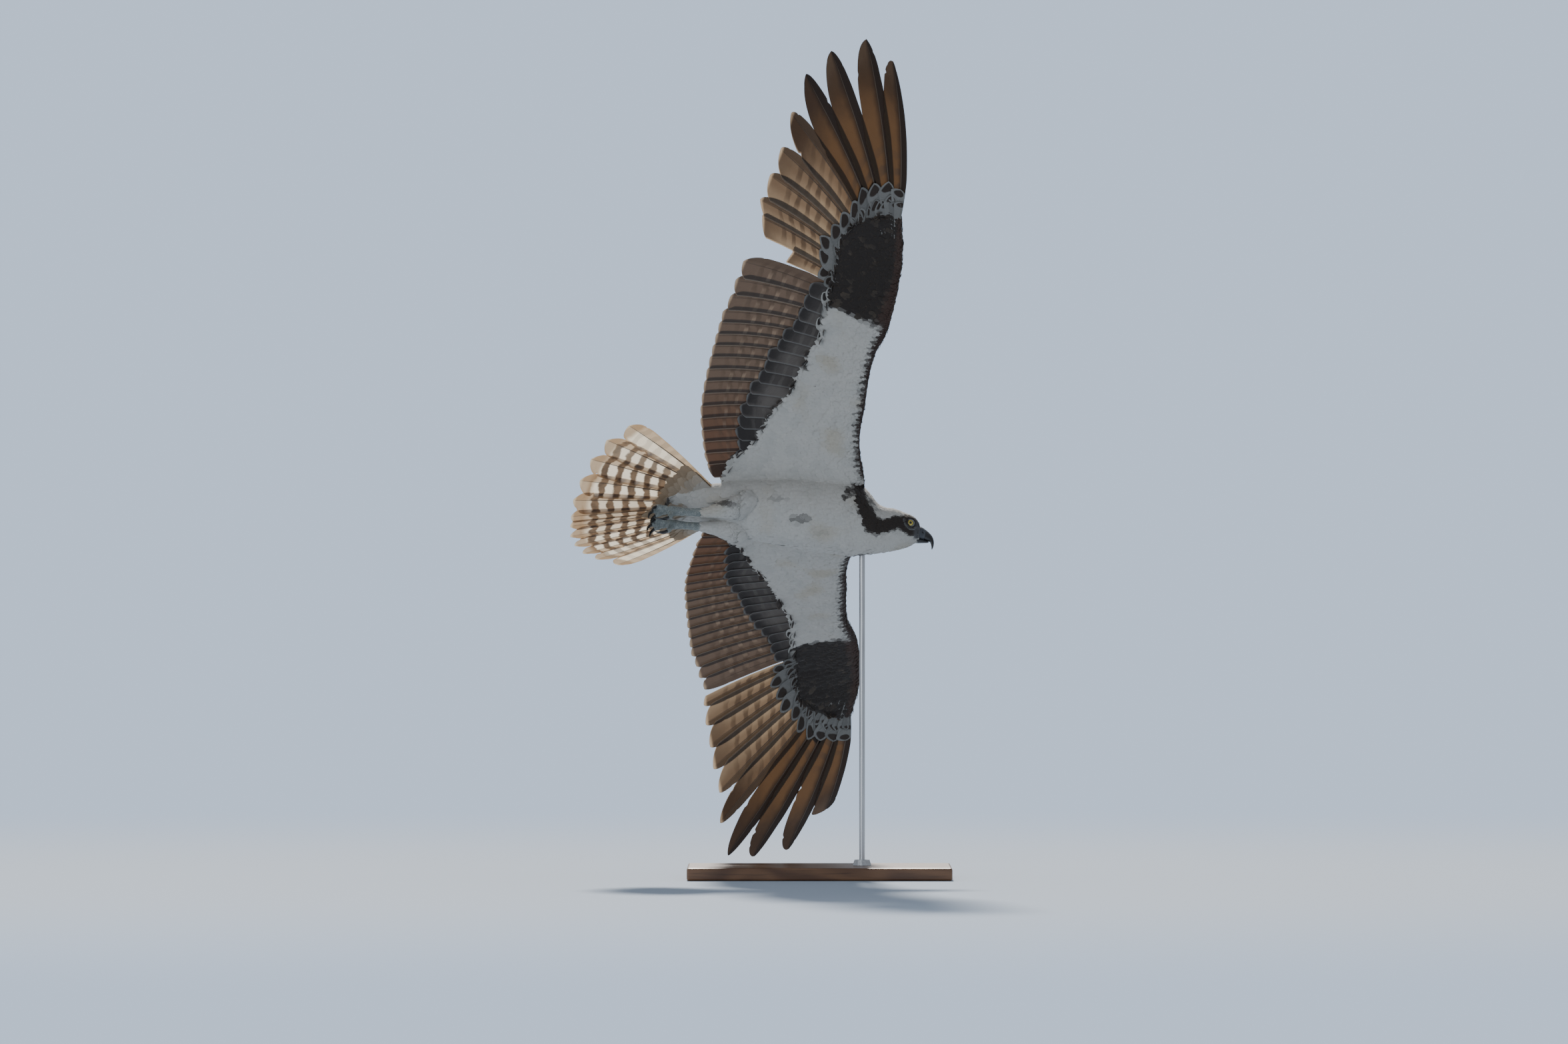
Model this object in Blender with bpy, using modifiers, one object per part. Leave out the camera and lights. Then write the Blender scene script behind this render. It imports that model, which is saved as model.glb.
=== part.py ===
# A still, life-size osprey in a banked glide, held on a display stand by one rod.
# The bird is modelled in its own frame: +X forward, +Y to its left, +Z out of its back.
# The tables are in millimetres; MM turns them into metres.

import math
import random

import bmesh
import bpy
from mathutils import Matrix, Vector

MM = 0.001
GAP = 0.3  # between neighbouring pieces
VARIATION_SEED = 7

# The pose of the bird's frame over the stand, whose base stands on z = 0 round the origin
BODY_AT = (-42.4, 0.0, 586.0)
BANK = math.radians(53)  # right wing up
NOSE_DOWN = math.radians(5.5)

# Body sections from the rump to the bill: x, y and z of the middle, half width, half height
BODY = (
    (-205, 2, -33, 24, 1.2),
    (-185, 1.5, -26, 29, 4),
    (-160, 0, -14, 34, 15),
    (-137, 0, -11, 37, 26),
    (-112, 0, -10, 41, 34),
    (-95, 0, -9, 45, 40),
    (-50, 0, -7, 51, 48),
    (-10, 0, -6, 56, 52),
    (40, 0, -5, 60, 57),
    (80, 0, -6, 61, 58),
    (102, 1, -9, 58, 57),
    (118, 2, -15, 50, 50),
    (135, 4, -23, 40, 41),
    (150, 4, -24, 34, 37),
    (163, 4.8, -21, 31, 34.5),
    (177, 6, -19, 27.5, 30),
    (191, 6, -17.5, 22.5, 25),
    (198, 5.2, -18.5, 17.5, 20),
    (204.5, 5.6, -23, 12, 14),
)
BODY_SIDES = 24
TORSO_BACK, TORSO_FRONT = -112, 128
NECK_FRONT = 153
HEAD_FRONT = 204.5
HEAD_ROLL = math.radians(36)  # the head stays level while the body banks
ROLL_STARTS = 110

# Head features, on the head's own axes: x, height and side measured from the body's axis
HEAD_SIDE = -5.7
EYE_X, EYE_HEIGHT = 186.3, -10.1
EYE_SIDE, EYE_RADIUS = 13.0, 8.6
EYE_OPENING = 5.3
EYE_FORWARD = math.radians(14)
LID_RADIUS, LID_THICKNESS = 6.1, 1.1
LID_SIDE = 21.6
MOUTH_HEIGHT, MOUTH_SLIT, GAPE_X = -31.7, 0.5, 191
NOSTRIL_X, NOSTRIL_HEIGHT = 209.0, -20.5
NOSTRIL_LONG, NOSTRIL_SHORT = 2.6, 1.1

# Bill sections: x and height on top, x and height below, half width
CERE = (
    (204.8, -8.6, 204.8, -31.2, 10.4),
    (208.5, -10.4, 208.5, -31.3, 9.3),
    (212.0, -13.0, 212.0, -31.4, 8.1),
)
BILL_UPPER = (
    (212.3, -13.2, 212.3, -31.5, 7.9),
    (216.6, -15.4, 215.2, -31.6, 7.1),
    (220.8, -18.8, 218.0, -31.8, 6.0),
    (224.6, -22.8, 220.3, -32.2, 4.9),
    (227.2, -27.6, 222.1, -33.2, 3.8),
    (228.5, -33.0, 223.6, -35.4, 2.8),
    (228.4, -39.5, 224.8, -39.2, 1.7),
    (226.9, -44.6, 225.3, -44.0, 0.7),
)
BILL_LOWER = (
    (204.8, -32.1, 204.8, -36.0, 8.6),
    (211.0, -32.3, 211.0, -36.0, 6.8),
    (217.0, -32.9, 217.0, -35.8, 3.8),
    (220.0, -33.6, 220.0, -35.0, 1.4),
)
BILL_SIDES = 14

# Wing surface by distance out from the body's axis:
# x and height of the leading edge, chord, fall to the trailing edge, camber
WING = (
    (30, 106, 3, 245, 4, 12),
    (65, 107.7, 12, 255, 10, 14),
    (107, 97, 26, 253, 22, 16),
    (147, 93.5, 38, 253, 30, 18),
    (192, 97, 51.6, 257, 33, 19),
    (240, 99, 66, 256, 37, 20),
    (280, 105.5, 78, 258, 43, 20),
    (310, 118, 87, 263, 48, 20),
    (348, 127.5, 98.5, 266, 53, 20),
    (380, 134.5, 108, 264, 56, 20),
    (410, 136, 116, 256, 53, 19),
    (460, 134, 122, 240, 43, 16),
    (500, 133, 128, 233, 43, 13),
    (565, 127.5, 140, 216, 51, 9),
    (623, 124, 152, 195, 57, 6),
    (666, 119.5, 162, 184, 61, 3),
    (703, 113, 170, 174, 65, 0),
    (737, 103.5, 178, 160, 68, -2),
    (770, 92, 186, 145, 70, -3),
    (830, 86, 198, 125, 72, -4),
)

# Flight feathers: x and distance out of each primary's tip, inner first. The right wing (-1) is
# drawn in a little, and GROWING gives the share of its length that a new feather has reached
PRIMARY_TIPS = {
    -1: (
        (-90, 462),
        (-92, 501),
        (-98, 537),
        (-86, 583),
        (-73, 632),
        (-62, 695),
        (-45, 762),
        (-9, 797),
        (44, 806),
        (89, 759),
    ),
    1: (
        (-113, 466),
        (-107, 510),
        (-97, 557),
        (-88, 604),
        (-75, 657),
        (-69, 727),
        (-51, 807),
        (-9, 820),
        (46, 823),
        (93, 785),
    ),
}
GROWING = {(-1, 1): 0.74, (1, 10): 0.855}
PRIMARY_BOWS = (0, 4, 6, 8, 8, 9, 10, 12, 16, 24)
PRIMARY_INNER = (38, 38, 38, 38, 36, 30, 29, 29, 29, 26)  # web behind the shaft
PRIMARY_OUTER = (16, 16, 16, 15, 14, 13, 12, 12, 11, 9)
PRIMARY_TAPER = (0.9, 0.9, 0.9, 0.9, 0.87, 0.82, 0.79, 0.77, 0.75, 0.54)
OUTER_SECONDARY_TIPS = (427, 397, 368.5, 343)
INNERMOST_TIP = 68
SECONDARIES = 17
SECONDARY_BOW = 5
SECONDARY_WEBS = (30, 15)
TRAILING_EDGE = (
    (60, -138),
    (85, -147),
    (127, -155),
    (171, -161),
    (233, -157),
    (343, -140),
    (368, -131),
    (397, -124.5),
    (427, -115),
)
WRIST, HAND_END = (104, 342), (120, 450)
ULNA_END, ELBOW, SHOULDER = (95, 330), (5, 158), (30, 66)
ULNA_SECONDARIES = 12

# How vanes lie on the wing surface
VANE_STEP = 1.4  # rise from one vane's layer to its inner neighbour's
VANE_HALF = 0.3  # half thickness
MOST_OVERLAP = 0.86  # of the way to the next shaft behind
SEAM_REACH = 0.48  # of the way to the next shaft, where arm and hand part
FINGER_STATIONS = (0, 0.34, 0.62, 0.82, 0.92, 0.98, 1)
VANE_STATIONS = (0, 0.36, 0.7, 0.94, 1)
FIRST_FINGER = 6
TAIL_WIDTHS = ((0, 0.3), (0.44, 1), (0.86, 1), (0.96, 0.8), (1, 0.4))
COVERT_STEP = 0.9
COVERT_LIFT, UNDER_COVERT_LIFT = 3, -4.2
COVERT_WIDTHS = ((0, 0.5), (0.72, 1), (1, 0.55))  # along each covert
COVERT_REACH = (  # place and share of the flight feather that its under covert hides
    (-16, 0.74),
    (-10, 0.61),
    (-6, 0.55),
    (-2, 0.46),
    (1, 0.52),
    (4, 0.5),
    (7, 0.37),
    (10, 0.31),
)
UPPER_COVERT_REACH = ((-16, 0.66), (-6, 0.5), (1, 0.45), (5, 0.42), (10, 0.3))

# Fleshy part of the wing: distance out and x of its rear edge, and its half thickness
FLESH_REAR = (
    (30, -105),
    (66, -102),
    (85, -89),
    (100, -73),
    (125, -60),
    (149, -48),
    (174, -29),
    (202, -14),
    (230, -4),
    (255, 7),
    (283, 20),
    (340, 26),
    (375, 30),
)
LEADING_LIP = 1.5  # the flesh's front edge before the surface's
FLESH_HALF = ((-18, 17), (-16, 15), (-12, 11.5), (-6, 9.5), (0.5, 7))
FLESH_ROWS = (-17.6, -16.2, -14, -11.5, -9, -6.5, -4, -1.5, 0.5)
FLESH_COLUMNS = ((0, 0.12), (0.03, 0.5), (0.11, 0.84), (0.28, 1), (0.52, 0.72), (0.78, 0.38), (1, 0.16))
HAND_ROWS = (  # x and distance out in front, x and distance out behind, half thickness
    (132, 365, 33, 408, 7),
    (135, 410, 38, 455, 6),
    (134, 450, 60, 480, 5),
    (129, 478, 92, 494, 4),
    (128, 496, 112, 500, 2.5),
)
ALULA_ROOT = (127, 348)
ALULA_VANES = ((129, 458, 9, 6), (127, 437, 9, 8), (124, 416, 9, 10))  # tip x, tip out, half width, lift

# Tail feathers from the middle pair out: x, y and z of each tip
TAIL_TIPS = (
    (-349, 9, -76),
    (-348, 36, -67),
    (-340, 65, -52),
    (-326, 94, -32),
    (-304, 119, -11),
    (-271, 139, 6),
)
TAIL_ROOT_X, TAIL_ROOT_Z = -120, -9
TAIL_ROOT_SPREAD = 4.6
TAIL_YAW = 8  # the whole fan swings this far to the left
TAIL_BOW = 15
TAIL_WEBS = (24, 15)
MIDDLE_OVERLAP, MIDDLE_STEP = 0.62, 1.2  # the right middle feather lies over the left one
TAIL_COVERT_REACH = (0.46, 0.36)  # under and upper tail coverts
TAIL_COVERT_LIFT = 3.2

# Legs, tucked back under the tail; y is by side, right first
THIGH = ((-70, 25, -38, 23), (-95, 21, -45, 19), (-118, 18, -50, 13), (-132, 15.5, -54, 9))
TARSUS = ((-150, 14, -56, 6.6), (-172, 13.5, -57, 6.2), (-184, 13.5, -57.5, 7.2))
ANKLE_RADIUS = 7.6
LEG_SHIFT = -5.5  # both legs hang this far to the right of the middle
FOOT_AT = (-191.5, 13.5, -57.5)
FOOT_PAD = 8.5
TOES = ((-20, 27), (0, 30), (20, 27))  # spread in degrees and length of the front toes
TOE_CURL = math.radians(35)
HALLUX, HALLUX_CURL = 17, math.radians(50)
TOE_RADIUS = 4.6
TALON_LENGTH, TALON_RADIUS = 24, 3.0
TALON_CURL = math.radians(80)

# Display stand
BASE_SIZE = (420, 300, 20)
BASE_BEVEL = 3
ROD_X, ROD_Y, ROD_RADIUS = 68, 3, 4.5
COLLAR_RADIUS, COLLAR_HEIGHT = 15, 9

COLOURS = {
    "underparts": ((0.62, 0.62, 0.58), 0.85, 0.0),
    "wing": ((0.2, 0.14, 0.1), 0.8, 0.0),
    "tail": ((0.42, 0.32, 0.22), 0.8, 0.0),
    "head": ((0.7, 0.68, 0.63), 0.85, 0.0),
    "bill": ((0.02, 0.02, 0.022), 0.3, 0.0),
    "cere": ((0.12, 0.14, 0.17), 0.45, 0.0),
    "eye": ((0.75, 0.55, 0.05), 0.08, 0.0),
    "foot": ((0.36, 0.4, 0.4), 0.7, 0.0),
    "talon": ((0.015, 0.015, 0.016), 0.25, 0.0),
    "base": ((0.05, 0.027, 0.015), 0.4, 0.0),
    "rod": ((0.3, 0.3, 0.31), 0.3, 1.0),
}

for old in list(bpy.data.objects):
    bpy.data.objects.remove(old, do_unlink=True)

parts = bpy.data.collections.new("osprey")
cutters = bpy.data.collections.new("cutters")
bpy.context.scene.collection.children.link(parts)
bpy.context.scene.collection.children.link(cutters)
draw = random.Random(VARIATION_SEED)

pose = bpy.data.objects.new("flight_pose", None)
pose.matrix_world = (
    Matrix.Translation(Vector(BODY_AT) * MM)
    @ Matrix.Rotation(NOSE_DOWN, 4, "Y")
    @ Matrix.Rotation(-BANK, 4, "X")
)
parts.objects.link(pose)


# Tables and curves

def read(table, at):
    """Each column of the table at this place, by a smooth curve through its rows."""
    rows = list(table)
    at = min(max(at, rows[0][0]), rows[-1][0])
    i = max(k for k in range(len(rows) - 1) if rows[k][0] <= at)
    a, b = rows[i], rows[i + 1]
    before, after = rows[max(i - 1, 0)], rows[min(i + 2, len(rows) - 1)]
    span = b[0] - a[0]
    t = (at - a[0]) / span
    found = []
    for c in range(1, len(a)):
        slope_a = (b[c] - before[c]) / (b[0] - before[0]) * span
        slope_b = (after[c] - a[c]) / (after[0] - a[0]) * span
        found.append(
            a[c] * (1 + 2 * t) * (1 - t) ** 2
            + slope_a * t * (1 - t) ** 2
            + b[c] * t * t * (3 - 2 * t)
            + slope_b * t * t * (t - 1)
        )
    return found if len(found) > 1 else found[0]


def between(a, b, t):
    return tuple(p + (q - p) * t for p, q in zip(a, b))


def taper(t, start):
    """1 up to the start, then a round end."""
    if t <= start:
        return 1.0
    return math.sqrt(1 - ((t - start) / (1.006 - start)) ** 2)


# Making objects

def material(kind):
    made = bpy.data.materials.get(kind)
    if made is None:
        colour, roughness, metallic = COLOURS[kind]
        made = bpy.data.materials.new(kind)
        made.use_nodes = True
        shader = made.node_tree.nodes["Principled BSDF"]
        shader.inputs["Base Color"].default_value = (*colour, 1)
        shader.inputs["Roughness"].default_value = roughness
        shader.inputs["Metallic"].default_value = metallic
    return made


def add(name, form, kind=None, home=parts, posed=True):
    """An object from the bmesh, given in millimetres."""
    bmesh.ops.scale(form, vec=(MM, MM, MM), verts=form.verts)
    bmesh.ops.recalc_face_normals(form, faces=form.faces)
    mesh = bpy.data.meshes.new(name)
    form.to_mesh(mesh)
    form.free()
    mesh.shade_smooth()
    mesh.set_sharp_from_angle(angle=math.radians(40))
    made = bpy.data.objects.new(name, mesh)
    home.objects.link(made)
    if kind:
        mesh.materials.append(material(kind))
    if posed:
        made.parent = pose
    if home is cutters:
        made.hide_render = True
        made.display_type = "WIRE"
    return made


def loft(rings):
    """A closed body through rings of as many points each, with flat ends."""
    form = bmesh.new()
    made = [[form.verts.new(p) for p in ring] for ring in rings]
    sides = len(made[0])
    for near, far in zip(made, made[1:]):
        for k in range(sides):
            form.faces.new((near[k], near[(k + 1) % sides], far[(k + 1) % sides], far[k]))
    form.faces.new(made[0])
    form.faces.new(made[-1][::-1])
    return form


def sheet(rows):
    """A thick sheet from rows of (point, half thickness up, half thickness down).
    Both faces are split along the same diagonals, so a thin sheet never crosses itself."""
    form = bmesh.new()
    top = [[form.verts.new(p + Vector((0, 0, up))) for p, up, _ in row] for row in rows]
    bottom = [[form.verts.new(p - Vector((0, 0, down))) for p, _, down in row] for row in rows]
    last_row, last = len(rows) - 1, len(rows[0]) - 1
    for j in range(last_row):
        for k in range(last):
            for side, order in ((top, 1), (bottom, -1)):
                a, b = side[j][k], side[j + 1][k]
                c, d = side[j + 1][k + 1], side[j][k + 1]
                form.faces.new((a, b, c)[::order])
                form.faces.new((a, c, d)[::order])
        for k in (0, last):
            form.faces.new((top[j][k], top[j + 1][k], bottom[j + 1][k], bottom[j][k]))
    for j in (0, last_row):
        for k in range(last):
            form.faces.new((top[j][k], top[j][k + 1], bottom[j][k + 1], bottom[j][k]))
    return form


def tube(points, sides, first_way=None, last_way=None):
    """A closed body round a line of (point, radius), its rings square to the line."""
    rings = []
    last = len(points) - 1
    for i, (point, radius) in enumerate(points):
        ahead = points[min(i + 1, last)][0] - points[max(i - 1, 0)][0]
        if i == 0 and first_way:
            ahead = first_way.copy()
        if i == last and last_way:
            ahead = last_way.copy()
        ahead.normalize()
        across = ahead.cross(Vector((0, 1, 0))).normalized()
        up = ahead.cross(across)
        turns = [2 * math.pi * k / sides for k in range(sides)]
        rings.append([point + radius * (math.cos(a) * across + math.sin(a) * up) for a in turns])
    return loft(rings)


def apply_modifiers(made):
    graph = bpy.context.evaluated_depsgraph_get()
    mesh = bpy.data.meshes.new_from_object(made.evaluated_get(graph))
    made.modifiers.clear()
    made.data = mesh


def boolean(made, operation, other=None, group=None, solver="EXACT"):
    step = made.modifiers.new(operation.lower(), "BOOLEAN")
    step.operation = operation
    step.solver = solver
    if group:
        step.operand_type = "COLLECTION"
        step.collection = group
    else:
        step.object = other
    bpy.context.view_layer.update()
    apply_modifiers(made)


def keep_largest(made):
    """Drops all but the object's largest closed surface."""
    form = bmesh.new()
    form.from_mesh(made.data)
    left = set(form.verts)
    islands = []
    while left:
        found = {left.pop()}
        grown = list(found)
        while grown:
            near = {e.other_vert(v) for v in grown for e in v.link_edges} - found
            found |= near
            grown = list(near)
        left -= found
        islands.append(found)
    islands.sort(key=len)
    for island in islands[:-1]:
        bmesh.ops.delete(form, geom=list(island), context="VERTS")
    form.to_mesh(made.data)
    form.free()


def fuse(made, pieces):
    """Joins closed pieces to the object, and leaves one closed body."""
    group = bpy.data.collections.new(made.name + "_pieces")
    bpy.context.scene.collection.children.link(group)
    for k, form in enumerate(pieces):
        add(f"{made.name}_piece_{k}", form, home=group)
    boolean(made, "UNION", group=group, solver="MANIFOLD")
    for piece in list(group.objects):
        bpy.data.objects.remove(piece, do_unlink=True)
    bpy.data.collections.remove(group)
    keep_largest(made)


# Body

def head_axes(x):
    """Left and up on the body's section here: the neck turns them to the level head."""
    t = min(max((x - ROLL_STARTS) / (NECK_FRONT - ROLL_STARTS), 0), 1)
    roll = HEAD_ROLL * t * t * (3 - 2 * t)
    return Vector((0, math.cos(roll), math.sin(roll))), Vector((0, -math.sin(roll), math.cos(roll)))


def body_ring(x, swell=0.0):
    y, z, wide, high = read(BODY, x)
    left, up = head_axes(x)
    ring = []
    for k in range(BODY_SIDES):
        a = 2 * math.pi * k / BODY_SIDES
        out = (wide + swell) * math.cos(a) * left + (high + swell) * math.sin(a) * up
        ring.append(Vector((x, y, z)) + out)
    return ring


def body_length(start, end, step):
    count = max(2, round((end - start) / step))
    return [start + (end - start) * k / count for k in range(count + 1)]


def make_body():
    add("torso", loft([body_ring(x) for x in body_length(TORSO_BACK, TORSO_FRONT, 19)]), "underparts")
    neck = body_length(TORSO_FRONT + GAP, NECK_FRONT, 6)
    add("neck", loft([body_ring(x) for x in neck]), "underparts")
    whole = body_length(-175, NECK_FRONT, 9)
    return add("body_cutter", loft([body_ring(x, GAP) for x in whole]), home=cutters)


# Head

def head_point(x, height, side):
    left, up = head_axes(NECK_FRONT)
    return Vector((x, 0, 0)) + height * up + (HEAD_SIDE + side) * left


def head_turn(side):
    """The turn that takes +Z to the way this eye looks, out and a little forward."""
    left, _ = head_axes(NECK_FRONT)
    out = math.cos(EYE_FORWARD) * side * left + math.sin(EYE_FORWARD) * Vector((1, 0, 0))
    return out, out.to_track_quat("Z", "X").to_matrix().to_4x4()


def bill_form(sections):
    rings = []
    left, up = head_axes(NECK_FRONT)
    for x_top, top, x_low, low, wide in sections:
        upper, lower = head_point(x_top, top, 0), head_point(x_low, low, 0)
        middle, high = (upper + lower) / 2, (upper - lower) / 2
        turns = [2 * math.pi * k / BILL_SIDES for k in range(BILL_SIDES)]
        rings.append([middle + math.cos(a) * wide * left + math.sin(a) * high for a in turns])
    return loft(rings)


def box(middle, half, along, left, up):
    form = bmesh.new()
    bmesh.ops.create_cube(form, size=2)
    axes = Matrix((along, left, up)).transposed().to_4x4()
    bmesh.ops.transform(form, matrix=axes @ Matrix.Diagonal((*half, 1)), verts=form.verts)
    bmesh.ops.translate(form, vec=middle, verts=form.verts)
    return form


def lid(side):
    """The rim of both lids, a flattened ring round the eye."""
    out, turn = head_turn(side)
    middle = head_point(EYE_X, EYE_HEIGHT, 0) + out * LID_SIDE
    form = bmesh.new()
    around, across = 16, 5
    rings = []
    for k in range(around):
        a = 2 * math.pi * k / around
        spoke = Vector((math.cos(a) * 0.86, math.sin(a), 0))
        ring = []
        for n in range(across):
            b = 2 * math.pi * n / across
            spot = spoke * (LID_RADIUS + LID_THICKNESS * math.cos(b))
            ring.append(middle + turn.to_3x3() @ (spot + Vector((0, 0, 0.9 * LID_THICKNESS * math.sin(b)))))
        rings.append([form.verts.new(p) for p in ring])
    for k in range(around):
        near, far = rings[k], rings[(k + 1) % around]
        for n in range(across):
            m = (n + 1) % across
            form.faces.new((near[n], near[m], far[m], far[n]))
    return form


def make_head():
    stations = body_length(NECK_FRONT + GAP, HEAD_FRONT, 4.6)
    head = add("head", loft([body_ring(x) for x in stations]), "head")
    left, up = head_axes(NECK_FRONT)
    ahead = Vector((1, 0, 0))
    for side, name in ((-1, "right"), (1, "left")):
        out, turn = head_turn(side)
        middle = head_point(EYE_X, EYE_HEIGHT, 0) + side * EYE_SIDE * left
        socket = bmesh.new()
        bmesh.ops.create_uvsphere(socket, u_segments=16, v_segments=10, radius=EYE_RADIUS + GAP)
        bmesh.ops.transform(socket, matrix=Matrix.Translation(middle) @ turn, verts=socket.verts)
        opening = bmesh.new()
        bmesh.ops.create_cone(
            opening,
            cap_ends=True,
            segments=16,
            radius1=EYE_OPENING - 1.5,
            radius2=EYE_OPENING + 1.2,
            depth=16,
        )
        bmesh.ops.transform(
            opening, matrix=Matrix.Translation(middle + out * 10) @ turn, verts=opening.verts
        )
        fuse(head, [lid(side)])
        for form in (socket, opening):
            cutter = add(f"eye_cutter_{name}", form, home=cutters)
            boolean(head, "DIFFERENCE", cutter)
        eye = bmesh.new()
        bmesh.ops.create_uvsphere(eye, u_segments=16, v_segments=10, radius=EYE_RADIUS)
        bmesh.ops.transform(eye, matrix=Matrix.Translation(middle) @ turn, verts=eye.verts)
        add(f"eye_{name}", eye, "eye")
    mouth_long = HEAD_FRONT + 2 - GAPE_X
    mouth = box(
        head_point(GAPE_X + mouth_long / 2, MOUTH_HEIGHT, 0),
        (mouth_long / 2, 20, MOUTH_SLIT / 2),
        ahead, left, up,
    )
    boolean(head, "DIFFERENCE", add("mouth_cutter", mouth, home=cutters))
    keep_largest(head)
    cere = add("cere", bill_form(CERE), "cere")
    for side in (-1, 1):
        nostril = bmesh.new()
        bmesh.ops.create_uvsphere(nostril, u_segments=10, v_segments=6, radius=1)
        shape = Matrix.Rotation(math.radians(-35), 4, "Y") @ Matrix.Diagonal(
            (NOSTRIL_LONG, NOSTRIL_SHORT * 2, NOSTRIL_SHORT, 1)
        )
        axes = Matrix((ahead, left, up)).transposed().to_4x4()
        place = Matrix.Translation(head_point(NOSTRIL_X, NOSTRIL_HEIGHT, side * 8.9))
        bmesh.ops.transform(nostril, matrix=place @ axes @ shape, verts=nostril.verts)
        boolean(cere, "DIFFERENCE", add("nostril_cutter", nostril, home=cutters))
    add("bill_upper", bill_form(BILL_UPPER), "bill")
    add("bill_lower", bill_form(BILL_LOWER), "bill")


# Wings

def surface(x, out):
    """Height of the wing's middle surface."""
    edge, high, chord, fall, camber = read(WING, out)
    u = (edge - x) / chord
    return high - fall * u + camber * 4 * u * (1 - u)


def shaft_ends(i, side):
    """Root and tip of a flight feather, as x and distance out. 1 to 10 are the primaries,
    inner first; 0, -1 and on are the secondaries, outer first."""
    if i >= 1:
        return between(WRIST, HAND_END, (i - 1) / 9), PRIMARY_TIPS[side][i - 1]
    k = 1 - i
    if k <= ULNA_SECONDARIES:
        root = between(ULNA_END, ELBOW, (k - 1) / (ULNA_SECONDARIES - 1))
    else:
        root = between(ELBOW, SHOULDER, (k - ULNA_SECONDARIES) / (SECONDARIES - ULNA_SECONDARIES))
    tips = OUTER_SECONDARY_TIPS
    if k <= len(tips):
        out = tips[k - 1]
    else:
        out = tips[-1] + (INNERMOST_TIP - tips[-1]) * (k - len(tips)) / (SECONDARIES - len(tips))
    return root, (read(TRAILING_EDGE, out), out)


def shaft(i, t, side):
    root, tip = shaft_ends(i, side)
    bow = PRIMARY_BOWS[i - 1] if i >= 1 else (SECONDARY_BOW if i < 0 else 0)
    dx, dy = tip[0] - root[0], tip[1] - root[1]
    long = math.hypot(dx, dy)
    swing = 2 * t * (1 - t) * bow / long
    x = root[0] + dx * t + dy * swing
    out = root[1] + dy * t - dx * swing
    return Vector((x, side * out, surface(x, out)))


def field(place, t, side):
    """A point on the fan of shafts, also between two feathers or past the last one."""
    i = min(max(math.floor(place), 1 - SECONDARIES), 9)
    return shaft(i, t, side).lerp(shaft(i + 1, t, side), place - i)


def webs(i, t, side, inner, outer):
    """How far both webs reach square to the shaft, as shares of the way to the next shafts."""
    here = shaft(i, t, side)
    along = (shaft(i, t + 0.02, side) - shaft(i, t - 0.02, side)).normalized()
    shares = []
    for place, wide in ((i - 1, inner), (i + 1, outer)):
        way = field(place, t, side) - here
        shares.append(wide / (way - way.dot(along) * along).length)
    most_back = SEAM_REACH if i == 1 else MOST_OVERLAP
    most_ahead = SEAM_REACH if i == 0 else MOST_OVERLAP / 2
    if i == 1 - SECONDARIES:
        most_back = 1
    return min(shares[0], most_back), min(shares[1], most_ahead)


def flight_vane(i, side):
    primary, finger = i >= 1, i >= FIRST_FINGER
    inner, outer = (PRIMARY_INNER[i - 1], PRIMARY_OUTER[i - 1]) if primary else SECONDARY_WEBS
    start = PRIMARY_TAPER[i - 1] if primary else 0.9
    grown = GROWING.get((side, i))
    rows = []
    for s in FINGER_STATIONS if finger else VANE_STATIONS:
        t = s * (grown or 1)
        wide = min(1, 0.4 + 2 * s) * taper(s, 0.94 if grown else start)
        back, ahead = webs(i, t, side, inner * wide, outer * wide)
        row = []
        for place in (i - back, i + ahead):
            point = field(place, t, side)
            point.z += VANE_STEP * (place - i)
            row.append((point, VANE_HALF, VANE_HALF))
        rows.append(row)
    return sheet(rows)


def covert_vane(i, side, lift, reach):
    rows = []
    for s, wide in COVERT_WIDTHS:
        t = 0.05 + (reach - 0.05) * s
        back, ahead = webs(i, t, side, 24 * wide, 11 * wide)
        row = []
        for place in (i - back, i + ahead):
            point = field(place, t, side)
            point.z += lift + COVERT_STEP * (place - i)
            row.append((point, VANE_HALF, VANE_HALF))
        rows.append(row)
    return sheet(rows)


def covert_pair(i, side):
    under = read(COVERT_REACH, i) * draw.uniform(0.97, 1.03)
    upper = read(UPPER_COVERT_REACH, i) * draw.uniform(0.97, 1.03)
    return [
        covert_vane(i, side, UNDER_COVERT_LIFT, under),
        covert_vane(i, side, COVERT_LIFT, upper),
    ]


def flesh_row(front, rear, half, side):
    row = []
    for u, share in FLESH_COLUMNS:
        x, out = between(front, rear, u)
        row.append((Vector((x, side * out, surface(x, out))), half * share, half * share))
    return row


def seam_line(place, side):
    """Front and rear of the flesh on the line of a feather's shaft."""
    low = math.floor(place)
    share = place - low
    low = max(low, 1 - SECONDARIES)
    roots, tips = zip(shaft_ends(low, side), shaft_ends(low + 1, side))
    root, tip = between(*roots, share), between(*tips, share)
    if place < 1 - SECONDARIES:
        inward = (place - 1 + SECONDARIES) * 22
        root = (root[0], roots[0][1] + inward)
        tip = (tip[0], roots[0][1] + inward)
    slope = (tip[1] - root[1]) / (tip[0] - root[0])
    front_x = read(WING, root[1])[0] + LEADING_LIP
    rear_x = read(FLESH_REAR, root[1])
    for _ in range(4):
        rear_x = read(FLESH_REAR, root[1] + (rear_x - root[0]) * slope)
    return tuple((x, root[1] + (x - root[0]) * slope) for x in (front_x, rear_x))


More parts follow.
